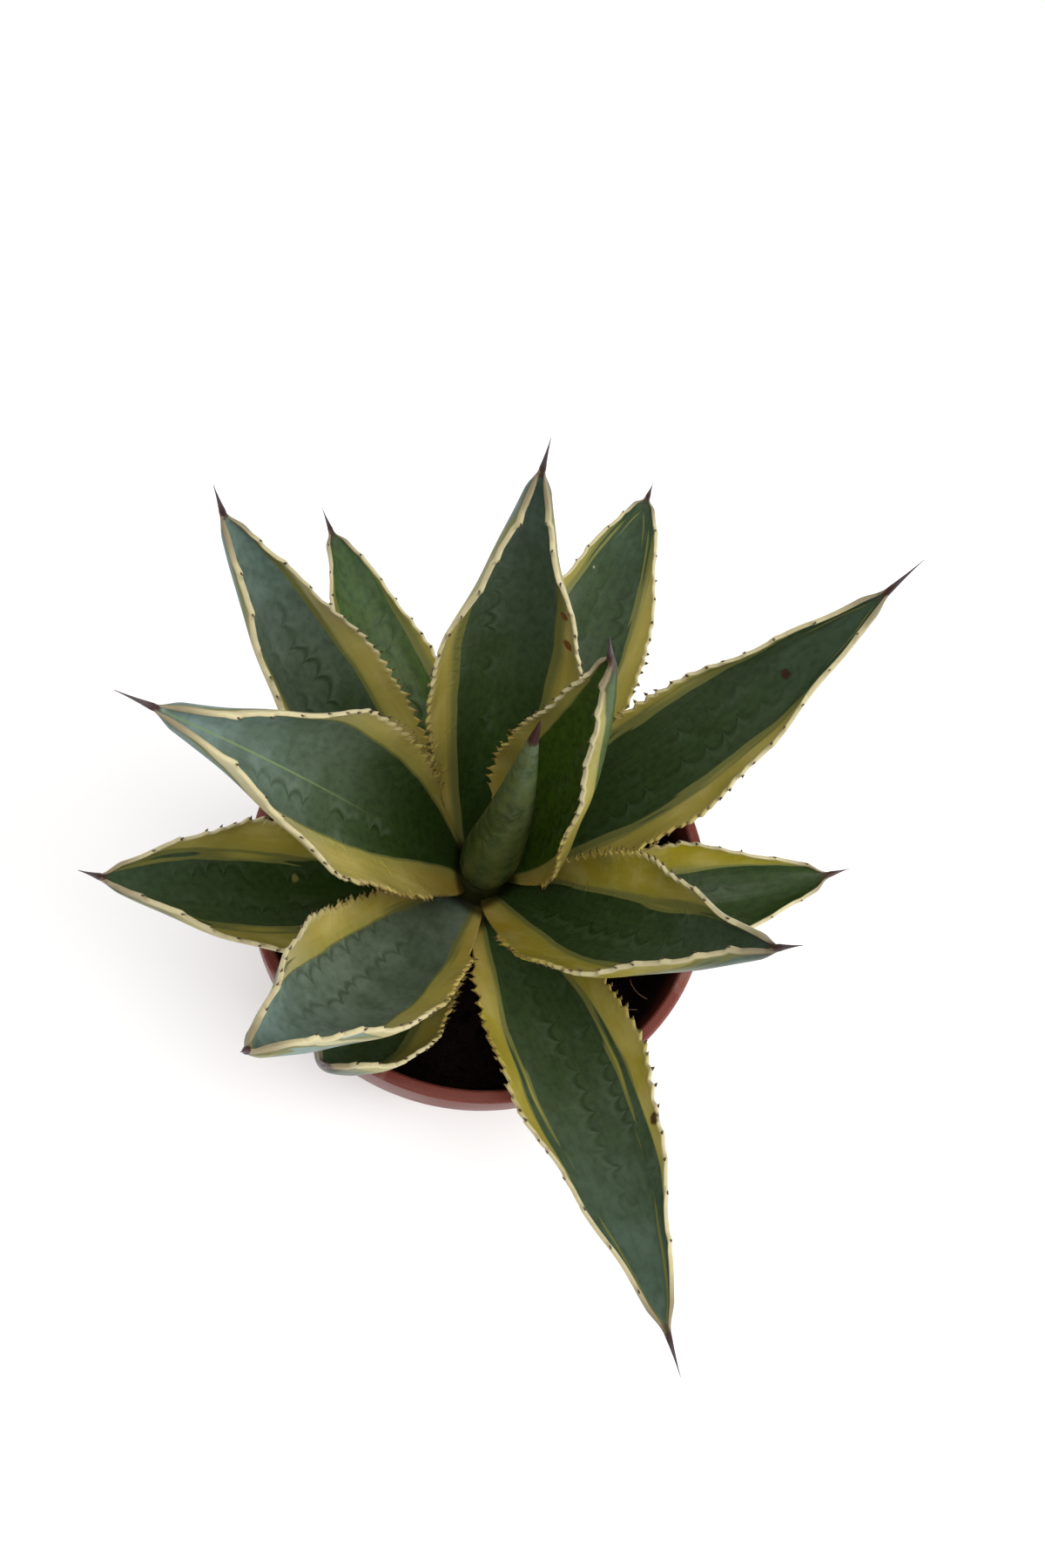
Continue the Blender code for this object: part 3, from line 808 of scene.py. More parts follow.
def tooth_row(leaf, rng):
    """Teeth from the lower blade to near the tip, with their size from 0 to 1 and their hook."""
    row = []
    length = leaf.length * MM
    reach = length * rng.uniform(0.15, 0.20)
    while reach < 0.93 * length:
        share = reach / length
        size = 0.35 + 0.65 * math.sin(math.pi * min(1.0, share / 0.62)) ** 0.6 if share < 0.62 else 0.42
        size *= rng.uniform(0.7, 1.15) * min(1.0, leaf.width / 64.0)
        row.append(Tooth(reach, size, rng.uniform(-0.9, 0.35)))
        far = max(0.0, share - 0.5)
        reach += TOOTH_PITCH * (1.0 + 6.0 * far) * rng.uniform(0.75, 1.3)
    return row


# %% [markdown]
# The bump that carries a tooth is a wedge in the outline. Its height is the sum of no more than one wedge at
# any place, so the bumps meet in sharp bays as on the real margin.

# %% Turn a row of teeth into an outline
BUMP_HEIGHT = 3.3 * MM


def outline_bumps(row, reach):
    """How far the margin stands out at each distance, and how far it leans along the leaf, in metres."""
    height = np.zeros_like(reach)
    lean = np.zeros_like(reach)
    for tooth, after in zip(row, row[1:] + row[-1:]):
        spread = TOOTH_PITCH * 0.66
        near = np.clip(1 - np.abs(reach - tooth.reach) / spread, 0, 1)
        bump = BUMP_HEIGHT * tooth.size * near
        higher = bump > height
        lean = np.where(higher, bump * tooth.hook, lean)
        height = np.where(higher, bump, height)
    return height, lean


# %% [markdown]
# ## The flat sheet
# Every open leaf starts as the same flat sheet: a grid, thickened by solidify, with its long edges rounded
# by a bevel. Across the sheet x goes from margin to margin, y from the root to the point of the spine, and
# z through the thickness. Bending it into a leaf is then a matter of moving points, and no face is made by
# hand.

# %% Make the flat sheet once
COLUMNS = 40
ROWS = 380
SHEET_THICKNESS = 0.044
EDGE_BEVEL = 0.021


def flat_sheet():
    form = bmesh.new()
    bmesh.ops.create_grid(form, x_segments=COLUMNS, y_segments=ROWS, size=0.5)
    bmesh.ops.solidify(form, geom=form.faces[:], thickness=SHEET_THICKNESS)
    bmesh.ops.recalc_face_normals(form, faces=form.faces[:])
    low = min(point.co.z for point in form.verts)
    for point in form.verts:
        point.co.z -= low + SHEET_THICKNESS
    rims = [
        edge for edge in form.edges
        if all(abs(abs(point.co.x) - 0.5) < 1e-5 for point in edge.verts)
        and abs(edge.verts[0].co.z - edge.verts[1].co.z) < 1e-6
    ]
    bmesh.ops.bevel(
        form, geom=rims, offset=EDGE_BEVEL, segments=3, profile=0.5, affect="EDGES", material=-1
    )
    mesh = bpy.data.meshes.new("flat_sheet")
    form.to_mesh(mesh)
    form.free()
    return mesh


SHEET = flat_sheet()
flat = np.zeros(len(SHEET.vertices) * 3, np.float32)
SHEET.vertices.foreach_get("co", flat)
flat = flat.reshape(-1, 3).astype(float)
print("flat sheet:", len(SHEET.vertices), "points, x", flat[:, 0].min(), "to", flat[:, 0].max())

# %% [markdown]
# ## Bending the sheet
# The section of the channel is an arc of a circle. A point is placed by its side, from -1 to 1 across, its
# reach along the midrib, and its layer, 0 on the upper face and 1 on the underside. Past the end of the
# blade the section closes to the round cone of the end spine.

# %% Place points on a leaf
HORN_BEAD = 0.22 * MM
SPINE_RADIUS = 1.25 * MM
SPINE_POINT = 0.12 * MM
CLOSING_LENGTH = 11 * MM


def channel(leaf, walk, side, reach, layer):
    """Points of the open channel, with the directions that lead out of the margin."""
    length = leaf.length * MM
    share = np.clip(reach / length, 0, 1)
    narrowing = np.interp(reach, [-ROOT_LENGTH, 0], [ROOT_NARROWING, 1.0])
    half = blade_width(leaf, share) / 2 * narrowing
    cup = blade_cup(leaf, share) * narrowing
    radius = half / cup
    keel = (BASE_THICKNESS + (TIP_THICKNESS - BASE_THICKNESS) * share) * narrowing
    thickness = MARGIN_THICKNESS + (keel - MARGIN_THICKNESS) * np.clip(1 - side ** 2, 0, 1) ** 0.8
    edge = half * (1 - np.abs(side))
    bead = HORN_BEAD * np.exp(-((edge / (1.1 * MM)) ** 2)) * smooth(share, 0.1, 0.4)
    place, along, across, out = at_reach(walk, reach)
    angle = (cup * side)[:, None]
    down = across * np.sin(angle) - out * np.cos(angle)
    outward = (across * np.cos(angle) + out * np.sin(angle)) * np.sign(side)[:, None]
    depth = radius - bead * (1 - layer) + (thickness + bead * layer) * layer
    points = place + out * radius[:, None] + down * depth[:, None]
    return points, along, outward, down, edge


def round_spine(leaf, walk, side, reach, layer):
    """Points of a round, tapering section about the middle of the leaf's closed end."""
    length = leaf.length * MM
    sides = np.linspace(-1, 1, 21)
    end = channel(leaf, walk, sides, np.full(21, length), np.full(21, 0.5))[0].mean(axis=0)
    place, along, across, out = at_reach(walk, reach)
    straight = at_reach(walk, np.array([length]))[0][0]
    centre = place + (end - straight)
    share = np.clip((reach - length) / (leaf.spine * MM), 0, 1)
    radius = SPINE_POINT + (SPINE_RADIUS - SPINE_POINT) * (1 - share) ** 1.5
    sideways = side * 0.97
    height = np.sqrt(1 - sideways ** 2) * (1 - 2 * layer)
    return centre + (across * sideways[:, None] + out * height[:, None]) * radius[:, None]


# %% [markdown]
# A real leaf isn't a perfect channel. Its margins wave up and down, the blade has faint pleats along it, and
# the teeth of its neighbours pressed into it while they were all rolled together. The waves and pleats are
# made in the shape here. The prints come with the finish.

# %% Bend the sheet into a leaf
WAVE_LENGTH = 46 * MM
WAVE_HEIGHT = 0.9 * MM
PLEAT_HEIGHT = 0.10 * MM
BUMP_REACH = 4.2 * MM


def bend_sheet(leaf, number, rows, seed):
    """Moves every point of the flat sheet to its place on the leaf. Returns points and blade values."""
    walk = walk_midrib(leaf, number)
    length = leaf.length * MM
    reach = -ROOT_LENGTH + (flat[:, 1] + 0.5) * (ROOT_LENGTH + length + leaf.spine * MM)
    side = 0.55 * np.sin(math.pi * flat[:, 0]) + 0.9 * flat[:, 0]
    layer = np.clip(-flat[:, 2] / SHEET_THICKNESS, 0, 1)
    points, along, outward, down, edge = channel(leaf, walk, side, reach, layer)
    share = reach / length
    open_part = smooth(share, 0.1, 0.35) * (1 - smooth(share, 0.8, 0.97))
    phase = math.tau * reach / WAVE_LENGTH + seed + 2.1 * np.sign(side)
    wave = WAVE_HEIGHT * np.abs(side) ** 3 * np.sin(phase)
    pleat = PLEAT_HEIGHT * np.cos(side * 19) * (1 - side ** 2)
    points -= down * ((wave + pleat) * open_part)[:, None]
    for sign, row in zip((-1, 1), rows):
        height, lean = outline_bumps(row, reach)
        weight = np.clip(1 - edge / BUMP_REACH, 0, 1) ** 2 * (np.sign(side) == sign)
        points += outward * (height * weight)[:, None] + along * (lean * weight)[:, None]
    closing = smooth(reach, length - CLOSING_LENGTH, length + 1 * MM)[:, None]
    points = points * (1 - closing) + round_spine(leaf, walk, side, reach, layer) * closing
    return walk, points, side, reach, layer, edge


# %% [markdown]
# The horny point of a tooth is a small cone with few faces, flattened and bent towards the base of the leaf.
# All the cones of a leaf are made in one bmesh and joined to the blade, because they grew as one piece.

# %% Make the horny points of the teeth
CONE_LENGTH = 1.5 * MM
CONE_RADIUS = 0.70 * MM
CONE_SUNK = 0.5 * MM


def add_point(form, place, out, along, face, size):
    """One cone at a place on the margin. Its length runs out of the margin. Returns, for each of its points,
    whether it lies out past the margin.
    """
    length = CONE_LENGTH * size + CONE_SUNK
    radius = CONE_RADIUS * (0.55 + 0.45 * size)
    turned = Matrix((along, face, out)).transposed().to_4x4()
    flatten = Matrix.Diagonal((1.25, 0.75, 1.0, 1.0))
    middle = Matrix.Translation(place + out * (length / 2 - CONE_SUNK))
    cone = bmesh.ops.create_cone(
        form, cap_ends=True, segments=8, radius1=radius, radius2=radius * 0.12, depth=length,
        matrix=middle @ turned @ flatten,
    )
    return [(point.co - place).dot(out) > 0 for point in cone["verts"]]


def tooth_points(leaf, walk, rows):
    """All the cones of a leaf as a bmesh, with the blade values of their points."""
    form = bmesh.new()
    values = []
    for sign, row in zip((-1.0, 1.0), rows):
        reach = np.array([tooth.reach for tooth in row])
        count = len(row)
        side = np.full(count, sign)
        margin, along, outward, down, _ = channel(leaf, walk, side, reach, np.full(count, 0.5))
        height, lean = outline_bumps(row, reach)
        margin = margin + outward * height[:, None] + along * lean[:, None]
        for index, tooth in enumerate(row):
            out = Vector(outward[index]) + Vector(along[index]) * tooth.hook
            out.normalize()
            face = Vector(down[index])
            run = face.cross(out).normalized()
            tips = add_point(form, Vector(margin[index]), out, run, out.cross(run), 0.4 + 0.6 * tooth.size)
            root_horn = 0.85 if tooth.reach > 0.50 * leaf.length * MM else 0.35
            values += [(sign, tooth.reach, 1.0 if tip else root_horn) for tip in tips]
    return form, np.array(values)


# %% [markdown]
# ## What the finish needs to know
# The pattern on a leaf follows the blade, so the finish has to know where on the blade it is. Each point
# carries three things: its place across, along and through the blade in millimetres, its distances from the
# margin, from the edge of the green and from the end of the blade, and how horny it is. They are attributes
# of the mesh, and the finish reads them by name.

# %% Write the blade's own values on the mesh
Look = namedtuple("Look", "left right fresh bloom low_wax cream olive streak print_side print_pitch stain")


def green_edge(look, side, share):
    """Where the green ends, as a share of the half width: three values joined by a smooth curve."""
    share = np.clip(share, 0, 1)
    edges = []
    for base, middle, tip in (look.left, look.right):
        low = base + (middle - base) * np.sin(np.clip(share * 2, 0, 1) * math.pi / 2)
        high = middle + (tip - middle) * smooth(share, 0.5, 1.0)
        edges.append(np.where(share < 0.5, low, high))
    return np.where(side < 0, edges[0], edges[1])


def write_values(mesh, blade, margin, horn):
    """Stores the three attributes. Vectors are in millimetres."""
    mesh.attributes.new("blade", "FLOAT_VECTOR", "POINT").data.foreach_set("vector", blade.ravel())
    mesh.attributes.new("margin", "FLOAT_VECTOR", "POINT").data.foreach_set("vector", margin.ravel())
    mesh.attributes.new("horn", "FLOAT", "POINT").data.foreach_set("value", horn)


# %% [markdown]
# The look of each leaf is its own too. Left and right say where the green ends at the base, in the middle
# and at the tip. Fresh is a yellower green, bloom the blue-grey wax with its painted sheen, and low wax its
# share near the stem, where less of it paints shade.
# Cream is the paleness of the margin, olive the width of the half-green band, streak the strength of the
# stripes, and stain the length of the brown tip.

# %% List the looks
LOOKS = [
    #    green edge left, right, fresh, bloom, low wax, cream, olive, streak, print side, pitch, stain
    Look((0.70, 0.72, 0.80), (0.60, 0.70, 0.80), 1.25, 0.05, 0.0, 0.65, 0.5, 0.2, 0.2, 9.0, 16),
    Look((0.05, 0.50, 0.88), (0.90, 0.75, 0.88), 0.20, 1.00, 0.0, 0.85, 1.0, 0.1, -0.3, 7.0, 6),
    Look((0.75, 0.46, 0.85), (0.20, 0.50, 0.82), 0.10, 0.25, 0.1, 0.22, 2.5, 0.4, -0.1, 8.0, 14),
    Look((0.60, 0.58, 0.85), (0.42, 0.55, 0.82), 0.15, 0.42, 0.0, 0.65, 5.0, 0.2, -0.35, 6.5, 9),
    Look((0.52, 0.62, 0.88), (0.62, 0.58, 0.86), 0.00, 0.95, 0.8, 0.68, 2.5, 0.9, 0.45, 10.0, 5),
    Look((0.72, 0.78, 0.86), (0.25, 0.50, 0.80), 0.1, 0.15, 0.25, 0.6, 4.0, 0.6, 0.05, 8.0, 9),
    Look((0.35, 0.55, 0.88), (0.60, 0.62, 0.86), 0.10, 0.80, 0.2, 0.75, 3.0, 0.2, 0.1, 8.0, 5),
    Look((0.52, 0.56, 0.82), (0.42, 0.66, 0.84), 0.15, 0.35, 0.3, 0.25, 2.5, 1.0, -0.1, 6.5, 9),
    Look((0.60, 0.72, 0.82), (0.42, 0.55, 0.82), 0.15, 0.15, 0.2, 0.62, 6.0, 0.8, 0.2, 9.0, 10),
    Look((0.32, 0.45, 0.80), (0.50, 0.54, 0.80), 0.20, 0.16, 0.0, 0.38, 2.0, 0.7, 0.2, 8.0, 7),
    Look((0.42, 0.42, 0.80), (0.80, 0.86, 0.92), 0.15, 0.00, 0.0, 0.0, 2.5, 0.4, 0.3, 9.0, 11),
    Look((0.52, 0.60, 0.84), (0.62, 0.70, 0.84), 1.0, 0.2, 0.2, 0.35, 5.0, 0.2, 0.1, 9.0, 12),
    Look((0.60, 0.62, 0.82), (0.50, 0.58, 0.80), 0.30, 0.20, 0.1, 0.55, 2.5, 0.4, -0.2, 8.0, 15),
]
print("looks for", len(LOOKS), "leaves")

# %% [markdown]
# ## The pale border
# The green centre and the pale margin are two tissues that grew side by side. Where they meet there is a
# band of half-green, and thin stripes of one run into the other, always along the leaf. The group takes the
# distance from the edge of the green, shifts it by noise that is stretched along the leaf, and cuts it.

# %% Build the border group
def build_border():
    sockets = [("Border", FLOAT, 0.0), ("Along", FLOAT, 0.0), ("Olive width", FLOAT, 2.0)]
    sockets += [("Streak", FLOAT, 0.5), ("Seed", FLOAT, 0.0)]
    tree, graph, entry, leave = new_group("pale_border", sockets, [("Pale", FLOAT), ("Full", FLOAT)])
    border, along = entry["Border"], entry["Along"]
    drift = graph.noise(graph.vector(0.0, graph.times(along, 0.03)), 1.0, 2.0, entry["Seed"])
    border = graph.times_plus(graph.minus(drift, 0.5), 3.0, border)
    lines = graph.vector(graph.times(border, 0.30), graph.times(along, 0.013))
    stripe = graph.minus(graph.noise(lines, 1.0, 1.0, entry["Seed"]), 0.5)
    near = graph.step(graph.maths("ABSOLUTE", border), 4.0, 9.0, 1.0, 0.0)
    near = graph.times(near, graph.step(along, 15.0, 70.0))
    reach = graph.times(graph.times(near, entry["Streak"]), 26.0)
    shifted = graph.times_plus(stripe, reach, border)
    pale = graph.step(shifted, -0.25, 0.25)
    soft = graph.times(entry["Olive width"], 0.45)
    full = graph.step(shifted, soft, graph.plus(entry["Olive width"], 0.6))
    graph.tree.links.new(pale, leave["Pale"])
    graph.tree.links.new(full, leave["Full"])
    return tree


BORDER = build_border()
print("shared group:", BORDER.name)

# %% [markdown]
# ## Bud prints
# While the leaves were rolled together, the teeth of one pressed a chain of scallops into the next. The
# group draws such a chain: a soft dark line that swings in arcs along the leaf, with a paler band on one
# side of it. The scallops are colour and a very low relief, since the real ones can hardly be felt.

# %% Build the print group
def build_print():
    sockets = [("Across", FLOAT, 0.0), ("Along", FLOAT, 0.0), ("Offset", FLOAT, 0.0), ("Pitch", FLOAT, 8.0)]
    sockets += [("Lobe", FLOAT, 4.0), ("Seed", FLOAT, 0.0)]
    tree, graph, entry, leave = new_group("bud_print", sockets, [("Line", FLOAT), ("Field", FLOAT)])
    place = graph.vector(entry["Across"], entry["Along"])
    warp = graph.minus(graph.noise(place, 0.035, 1.0, entry["Seed"]), 0.5)
    along = graph.times_plus(warp, 14.0, entry["Along"])
    turn = graph.times(graph.maths("DIVIDE", along, entry["Pitch"]), math.pi)
    arc_height = graph.maths("POWER", graph.maths("ABSOLUTE", graph.maths("SINE", turn)), 0.6)
    swing = graph.times(arc_height, entry["Lobe"])
    away = graph.minus(graph.minus(entry["Across"], entry["Offset"]), swing)
    away = graph.times_plus(warp, 12.0, away)
    line = graph.step(graph.maths("ABSOLUTE", away), 0.2, 2.6, 1.0, 0.0)
    field = graph.times(graph.step(away, -0.4, 1.2), graph.step(away, 1.2, 6.5, 1.0, 0.0))
    graph.tree.links.new(line, leave["Line"])
    graph.tree.links.new(field, leave["Field"])
    return tree


PRINT = build_print()
print("shared group:", PRINT.name)

# %% [markdown]
# ## Leaf skin
# One group mixes the whole skin from the blade's values: green with wax and painted sheen on it, the olive
# band, the yellow margin with its paler horny rim and a painted highlight along it, painted shade where the
# leaf leaves the stem, and brown points and stains. Each leaf then sets its own colours and amounts, and the
# spear uses the same group, since it is a leaf that hasn't opened yet.

# %% Name the colours of the skin
DEEP_GREEN = (0.015, 0.032, 0.008, 1.0)
FRESH_GREEN = (0.040, 0.078, 0.006, 1.0)
# The two wax colours are partly the pale bloom and partly a painted sheen, bluer towards the tip.
WAX_AND_SHEEN = (0.120, 0.152, 0.106, 1.0)
TIP_WAX_AND_SHEEN = (0.155, 0.225, 0.200, 1.0)
OLIVE = (0.130, 0.132, 0.036, 1.0)
MARGIN_OLIVE = (0.250, 0.200, 0.005, 1.0)
MARGIN_CREAM = (0.375, 0.300, 0.078, 1.0)
RIM_CREAM = (0.470, 0.415, 0.240, 1.0)
HORN_BROWN = (0.035, 0.014, 0.012, 1.0)
SPINE_GREY = (0.070, 0.055, 0.062, 1.0)

# %% [markdown]
# The green is the larger half of the skin, so it has its own function. It could be one colour under a glossy
# coat. A wax that is mixed in as a paler colour shows better, because it is thick near the tip, thin near the
# stem and rubbed off along the bud prints. The paler wax also paints the sheen that the leaves catch, and its
# thinning towards the stem also paints the shade among the leaf bases.

# %% Build the wax and print part of the skin
SKIN_INPUTS = [
    ("Blade", VECTOR, (0, 0, 0)), ("Margin", VECTOR, (9, 0, -99)), ("Horn", FLOAT, 0.0),
    ("Fresh", FLOAT, 0.2), ("Bloom", FLOAT, 0.4), ("Low wax", FLOAT, 0.0), ("Cream", FLOAT, 0.6),
    ("Olive width", FLOAT, 2.0),
    ("Streak", FLOAT, 0.5), ("Print offset", FLOAT, 0.0), ("Print pitch", FLOAT, 8.0),
    ("Stain", FLOAT, 8.0), ("Length", FLOAT, 200.0), ("Seed", FLOAT, 0.0), ("Midline", FLOAT, 0.0),
]


def waxed_green_and_sheen(graph, entry, across, along, under):
    """The green of the leaf under its bloom and painted sheen. Returns the colour, the wax with its sheen and
    the height of the prints.
    """
    seed = entry["Seed"]
    share = graph.maths("DIVIDE", along, entry["Length"])
    veins = graph.noise(graph.stretch(entry["Blade"], (0.9, 0.02, 1.0)), 1.0, 3.0, seed)
    ripple = graph.noise(graph.stretch(entry["Blade"], (0.10, 0.55, 1.0)), 1.0, 2.0, seed)
    cloud = graph.noise(entry["Blade"], 0.045, 4.0, seed)
    first = {"Across": across, "Along": along, "Offset": entry["Print offset"]}
    long_pitch = graph.times(entry["Print pitch"], 1.35)
    chain = graph.group(PRINT, {**first, "Pitch": long_pitch, "Lobe": 4.8, "Seed": seed})
    other = graph.minus(entry["Print offset"], 13.0)
    second = {"Across": across, "Along": along, "Offset": other, "Lobe": 3.6, "Seed": 3.0}
    chain_two = graph.group(PRINT, {**second, "Pitch": graph.times(entry["Print pitch"], 1.05)})
    window = graph.times(graph.step(share, 0.10, 0.25), graph.step(share, 0.62, 0.85, 1.0, 0.0))
    window = graph.times(window, graph.step(cloud, 0.38, 0.54))
    line = graph.times(graph.maths("MAXIMUM", chain["Line"], chain_two["Line"]), window)
    field = graph.times(graph.maths("MAXIMUM", chain["Field"], chain_two["Field"]), window)
    green = graph.mix(entry["Fresh"], DEEP_GREEN, FRESH_GREEN)
    green = graph.mix(graph.step(veins, 0.35, 0.75, 0.0, 0.40), green, (0.034, 0.058, 0.010, 1.0))
    # Painted shade and sheen: the wax thins towards the stem, so the leaf is darker there, and thickens
    # towards the tip, where its pale sheen gathers.
    outer = graph.plus(graph.step(share, 0.20, 0.95, entry["Low wax"], 0.95), graph.times(under, 0.45))
    wax = graph.times(graph.step(cloud, 0.32, 0.68, 0.55, 1.08), outer)
    wax = graph.times_plus(field, 0.22, wax)
    wax = graph.minus(wax, graph.times(line, 0.22))
    wax = graph.times(graph.times(wax, entry["Bloom"]), 1.0, clamp=True)
    mottle = graph.noise(graph.stretch(entry["Blade"], (0.42, 0.24, 1.0)), 1.0, 5.0, seed)
    green = graph.mix(graph.step(mottle, 0.38, 0.70, 0.0, 0.50), green, (0.009, 0.016, 0.003, 1.0))
    wax = graph.times(wax, graph.step(mottle, 0.38, 0.70, 1.08, 0.80), clamp=True)
    # Painted sheen: the pale wax colour, bluer towards the tip, is partly the real bloom and partly the sky's
    # reflection on the leaf.
    colour = graph.mix(wax, green, graph.mix(graph.step(share, 0.4, 1.0), WAX_AND_SHEEN, TIP_WAX_AND_SHEEN))
    middle = graph.times(graph.step(graph.maths("ABSOLUTE", across), 0.15, 0.55, 1.0, 0.0), entry["Midline"])
    middle = graph.times(middle, graph.step(share, 0.30, 0.75))
    colour = graph.mix(graph.times(middle, 0.7), colour, (0.17, 0.24, 0.09, 1.0))
    colour = graph.mix(graph.times(field, 0.24), colour, (0.058, 0.085, 0.042, 1.0))
    colour = graph.mix(graph.times(line, 0.24), colour, (0.006, 0.013, 0.003, 1.0))
    height = graph.times_plus(field, 0.16, graph.times(line, -0.10))
    height = graph.times_plus(veins, 0.10, height)
    return colour, wax, graph.times_plus(ripple, 0.14, height)


# %% [markdown]
# The other half of the skin is the margin. It is cream where it is young and olive where it is old, and it
# turns orange near the stem. Along the rim the skin is horny and paler, with a painted highlight on its
# rounded edge, and every tooth ends brown.

# %% Build the skin group
def build_skin():
    made = [("Color", COLOUR), ("Roughness", FLOAT), ("Height", FLOAT)]
    tree, graph, entry, leave = new_group("agave_skin", SKIN_INPUTS, made)
    across, along, layer = graph.parts(entry["Blade"])
    edge, border, past_end = graph.parts(entry["Margin"])
    seed = entry["Seed"]
    share = graph.maths("DIVIDE", along, entry["Length"])
    under = graph.step(layer, 0.4, 0.6)
    green, wax, height = waxed_green_and_sheen(graph, entry, across, along, under)
    bands = {"Border": border, "Along": along, "Olive width": entry["Olive width"]}
    masks = graph.group(BORDER, {**bands, "Streak": entry["Streak"], "Seed": seed})
    fibre = graph.noise(graph.stretch(entry["Blade"], (0.8, 0.03, 1.0)), 1.0, 2.0, seed)
    margin = graph.mix(entry["Cream"], MARGIN_OLIVE, MARGIN_CREAM)
    margin = graph.mix(graph.step(share, 0.0, 0.35, 0.60, 0.0), margin, (0.360, 0.215, 0.022, 1.0))
    margin = graph.mix(graph.step(fibre, 0.35, 0.7, 0.0, 0.25), margin, (0.19, 0.17, 0.02, 1.0))
    blush = graph.noise(graph.stretch(entry["Blade"], (0.12, 0.05, 1.0)), 1.0, 3.0, seed)
    margin = graph.mix(graph.step(blush, 0.40, 0.70, 0.0, 0.45), margin, (0.44, 0.37, 0.13, 1.0))
    margin = graph.mix(graph.step(border, 1.0, 8.0, 0.50, 0.0), margin, (0.180, 0.180, 0.040, 1.0))
    pale = graph.times(graph.step(share, 0.45, 0.90, 0.0, 0.5), entry["Bloom"])
    margin = graph.mix(pale, margin, (0.52, 0.49, 0.38, 1.0))
    colour = graph.mix(masks["Pale"], green, OLIVE)
    colour = graph.mix(masks["Full"], colour, margin)
    # Painted highlight: the pale band along the rounded margin, strongest in the outer half of the leaf, is
    # partly the paler horny rim and partly the light that its edge catches.
    rim = graph.times(graph.step(edge, 0.5, 1.15, 1.0, 0.0), graph.step(share, 0.38, 0.62, 0.05, 1.0))
    colour = graph.mix(rim, colour, RIM_CREAM)
    worn = graph.times(graph.step(edge, 0.1, 0.8, 1.0, 0.0), graph.step(share, 0.35, 0.60, 0.55, 0.10))
    worn = graph.times(worn, graph.step(fibre, 0.40, 0.60))
    colour = graph.mix(worn, colour, (0.20, 0.105, 0.030, 1.0))
    # Painted shade: the first millimetres of each leaf, where it leaves the stem among the others, are
    # darkened nearly to black, with a brown of a dry base.
    colour = graph.mix(graph.step(along, 2.0, 9.0, 0.85, 0.0), colour, (0.010, 0.008, 0.003, 1.0))
    patch = graph.noise(entry["Blade"], 0.35, 2.0, seed)
    reach = graph.times_plus(graph.minus(patch, 0.5), 10.0, past_end)
    stained = graph.step(reach, graph.times(entry["Stain"], -1.0), 0.0)
    edge_burn = graph.times(graph.step(edge, 0.4, 2.5, 1.0, 0.0), graph.step(past_end, -26.0, -6.0))
    stained = graph.maths("MAXIMUM", stained, graph.times(edge_burn, 0.6))
    colour = graph.mix(stained, colour, HORN_BROWN)
    colour = graph.mix(graph.step(past_end, 0.0, 5.0, 0.0, 0.75), colour, SPINE_GREY)
    colour = graph.mix(entry["Horn"], colour, HORN_BROWN)
    roughness = graph.times_plus(wax, 0.16, 0.36)
    graph.tree.links.new(colour, leave["Color"])
    graph.tree.links.new(roughness, leave["Roughness"])
    graph.tree.links.new(height, leave["Height"])
    return tree


SKIN = build_skin()
print("shared group:", SKIN.name, "with", len(SKIN.nodes), "nodes")

# %% [markdown]
# A leaf collects its own marks: brown scars where something rubbed it, and pale spots. Each mark is a place
# on the blade with a size, and the finish mixes its colour in over the skin.

# %% Make the finish of one leaf
Mark = namedtuple("Mark", "leaf side share size colour")
SCAR = (0.030, 0.010, 0.006, 1.0)
RUST = (0.150, 0.035, 0.010, 1.0)
PALE_SPOT = (0.16, 0.15, 0.05, 1.0)
MARKS = [
    Mark(6, -0.05, 0.74, 2.4, SCAR),
    Mark(4, 0.82, 0.60, 3.0, RUST),
    Mark(4, 0.78, 0.67, 2.4, RUST),
    Mark(8, -0.93, 0.62, 2.6, SCAR),
    Mark(10, 0.32, 0.40, 2.2, PALE_SPOT),
    Mark(9, -0.55, 0.72, 0.9, RIM_CREAM),
]
MIDLINES = (2,)


def leaf_material(name, leaf, look, number):
    """The finish of one leaf: the shared skin with this leaf's look, and its marks over it."""
    material, graph, shader = new_material(name, Specular_IOR_Level=0.18)
    blade = graph.attribute("blade").outputs["Vector"]
    values = {
        "Blade": blade,
        "Margin": graph.attribute("margin").outputs["Vector"],
        "Horn": graph.attribute("horn").outputs["Fac"],
        "Fresh": look.fresh, "Bloom": look.bloom, "Low wax": look.low_wax,
        "Cream": look.cream, "Olive width": look.olive,
        "Streak": look.streak, "Print offset": look.print_side * leaf.width / 2,
        "Print pitch": look.print_pitch, "Stain": look.stain, "Length": leaf.length, "Seed": 1.7 * number,
        "Midline": 1.0 if number in MIDLINES else 0.0,
    }
    skin = graph.group(SKIN, values)
    colour = skin["Color"]
    for mark in MARKS:
        if mark.leaf == number:
            half = float(blade_width(leaf, np.array(mark.share))) / 2 / MM
            centre = (mark.side * half, mark.share * leaf.length, 0.0)
            away = graph.add("ShaderNodeVectorMath", {0: blade, 1: centre}, operation="DISTANCE")
            away = away.outputs["Value"]
            ragged = graph.times_plus(graph.noise(blade, 0.6, 2.0), 2.0, away)
            colour = graph.mix(graph.step(ragged, mark.size, mark.size + 1.2, 0.9, 0.0), colour, mark.colour)
    wire(graph, shader, colour, skin["Roughness"], skin["Height"])
    return material
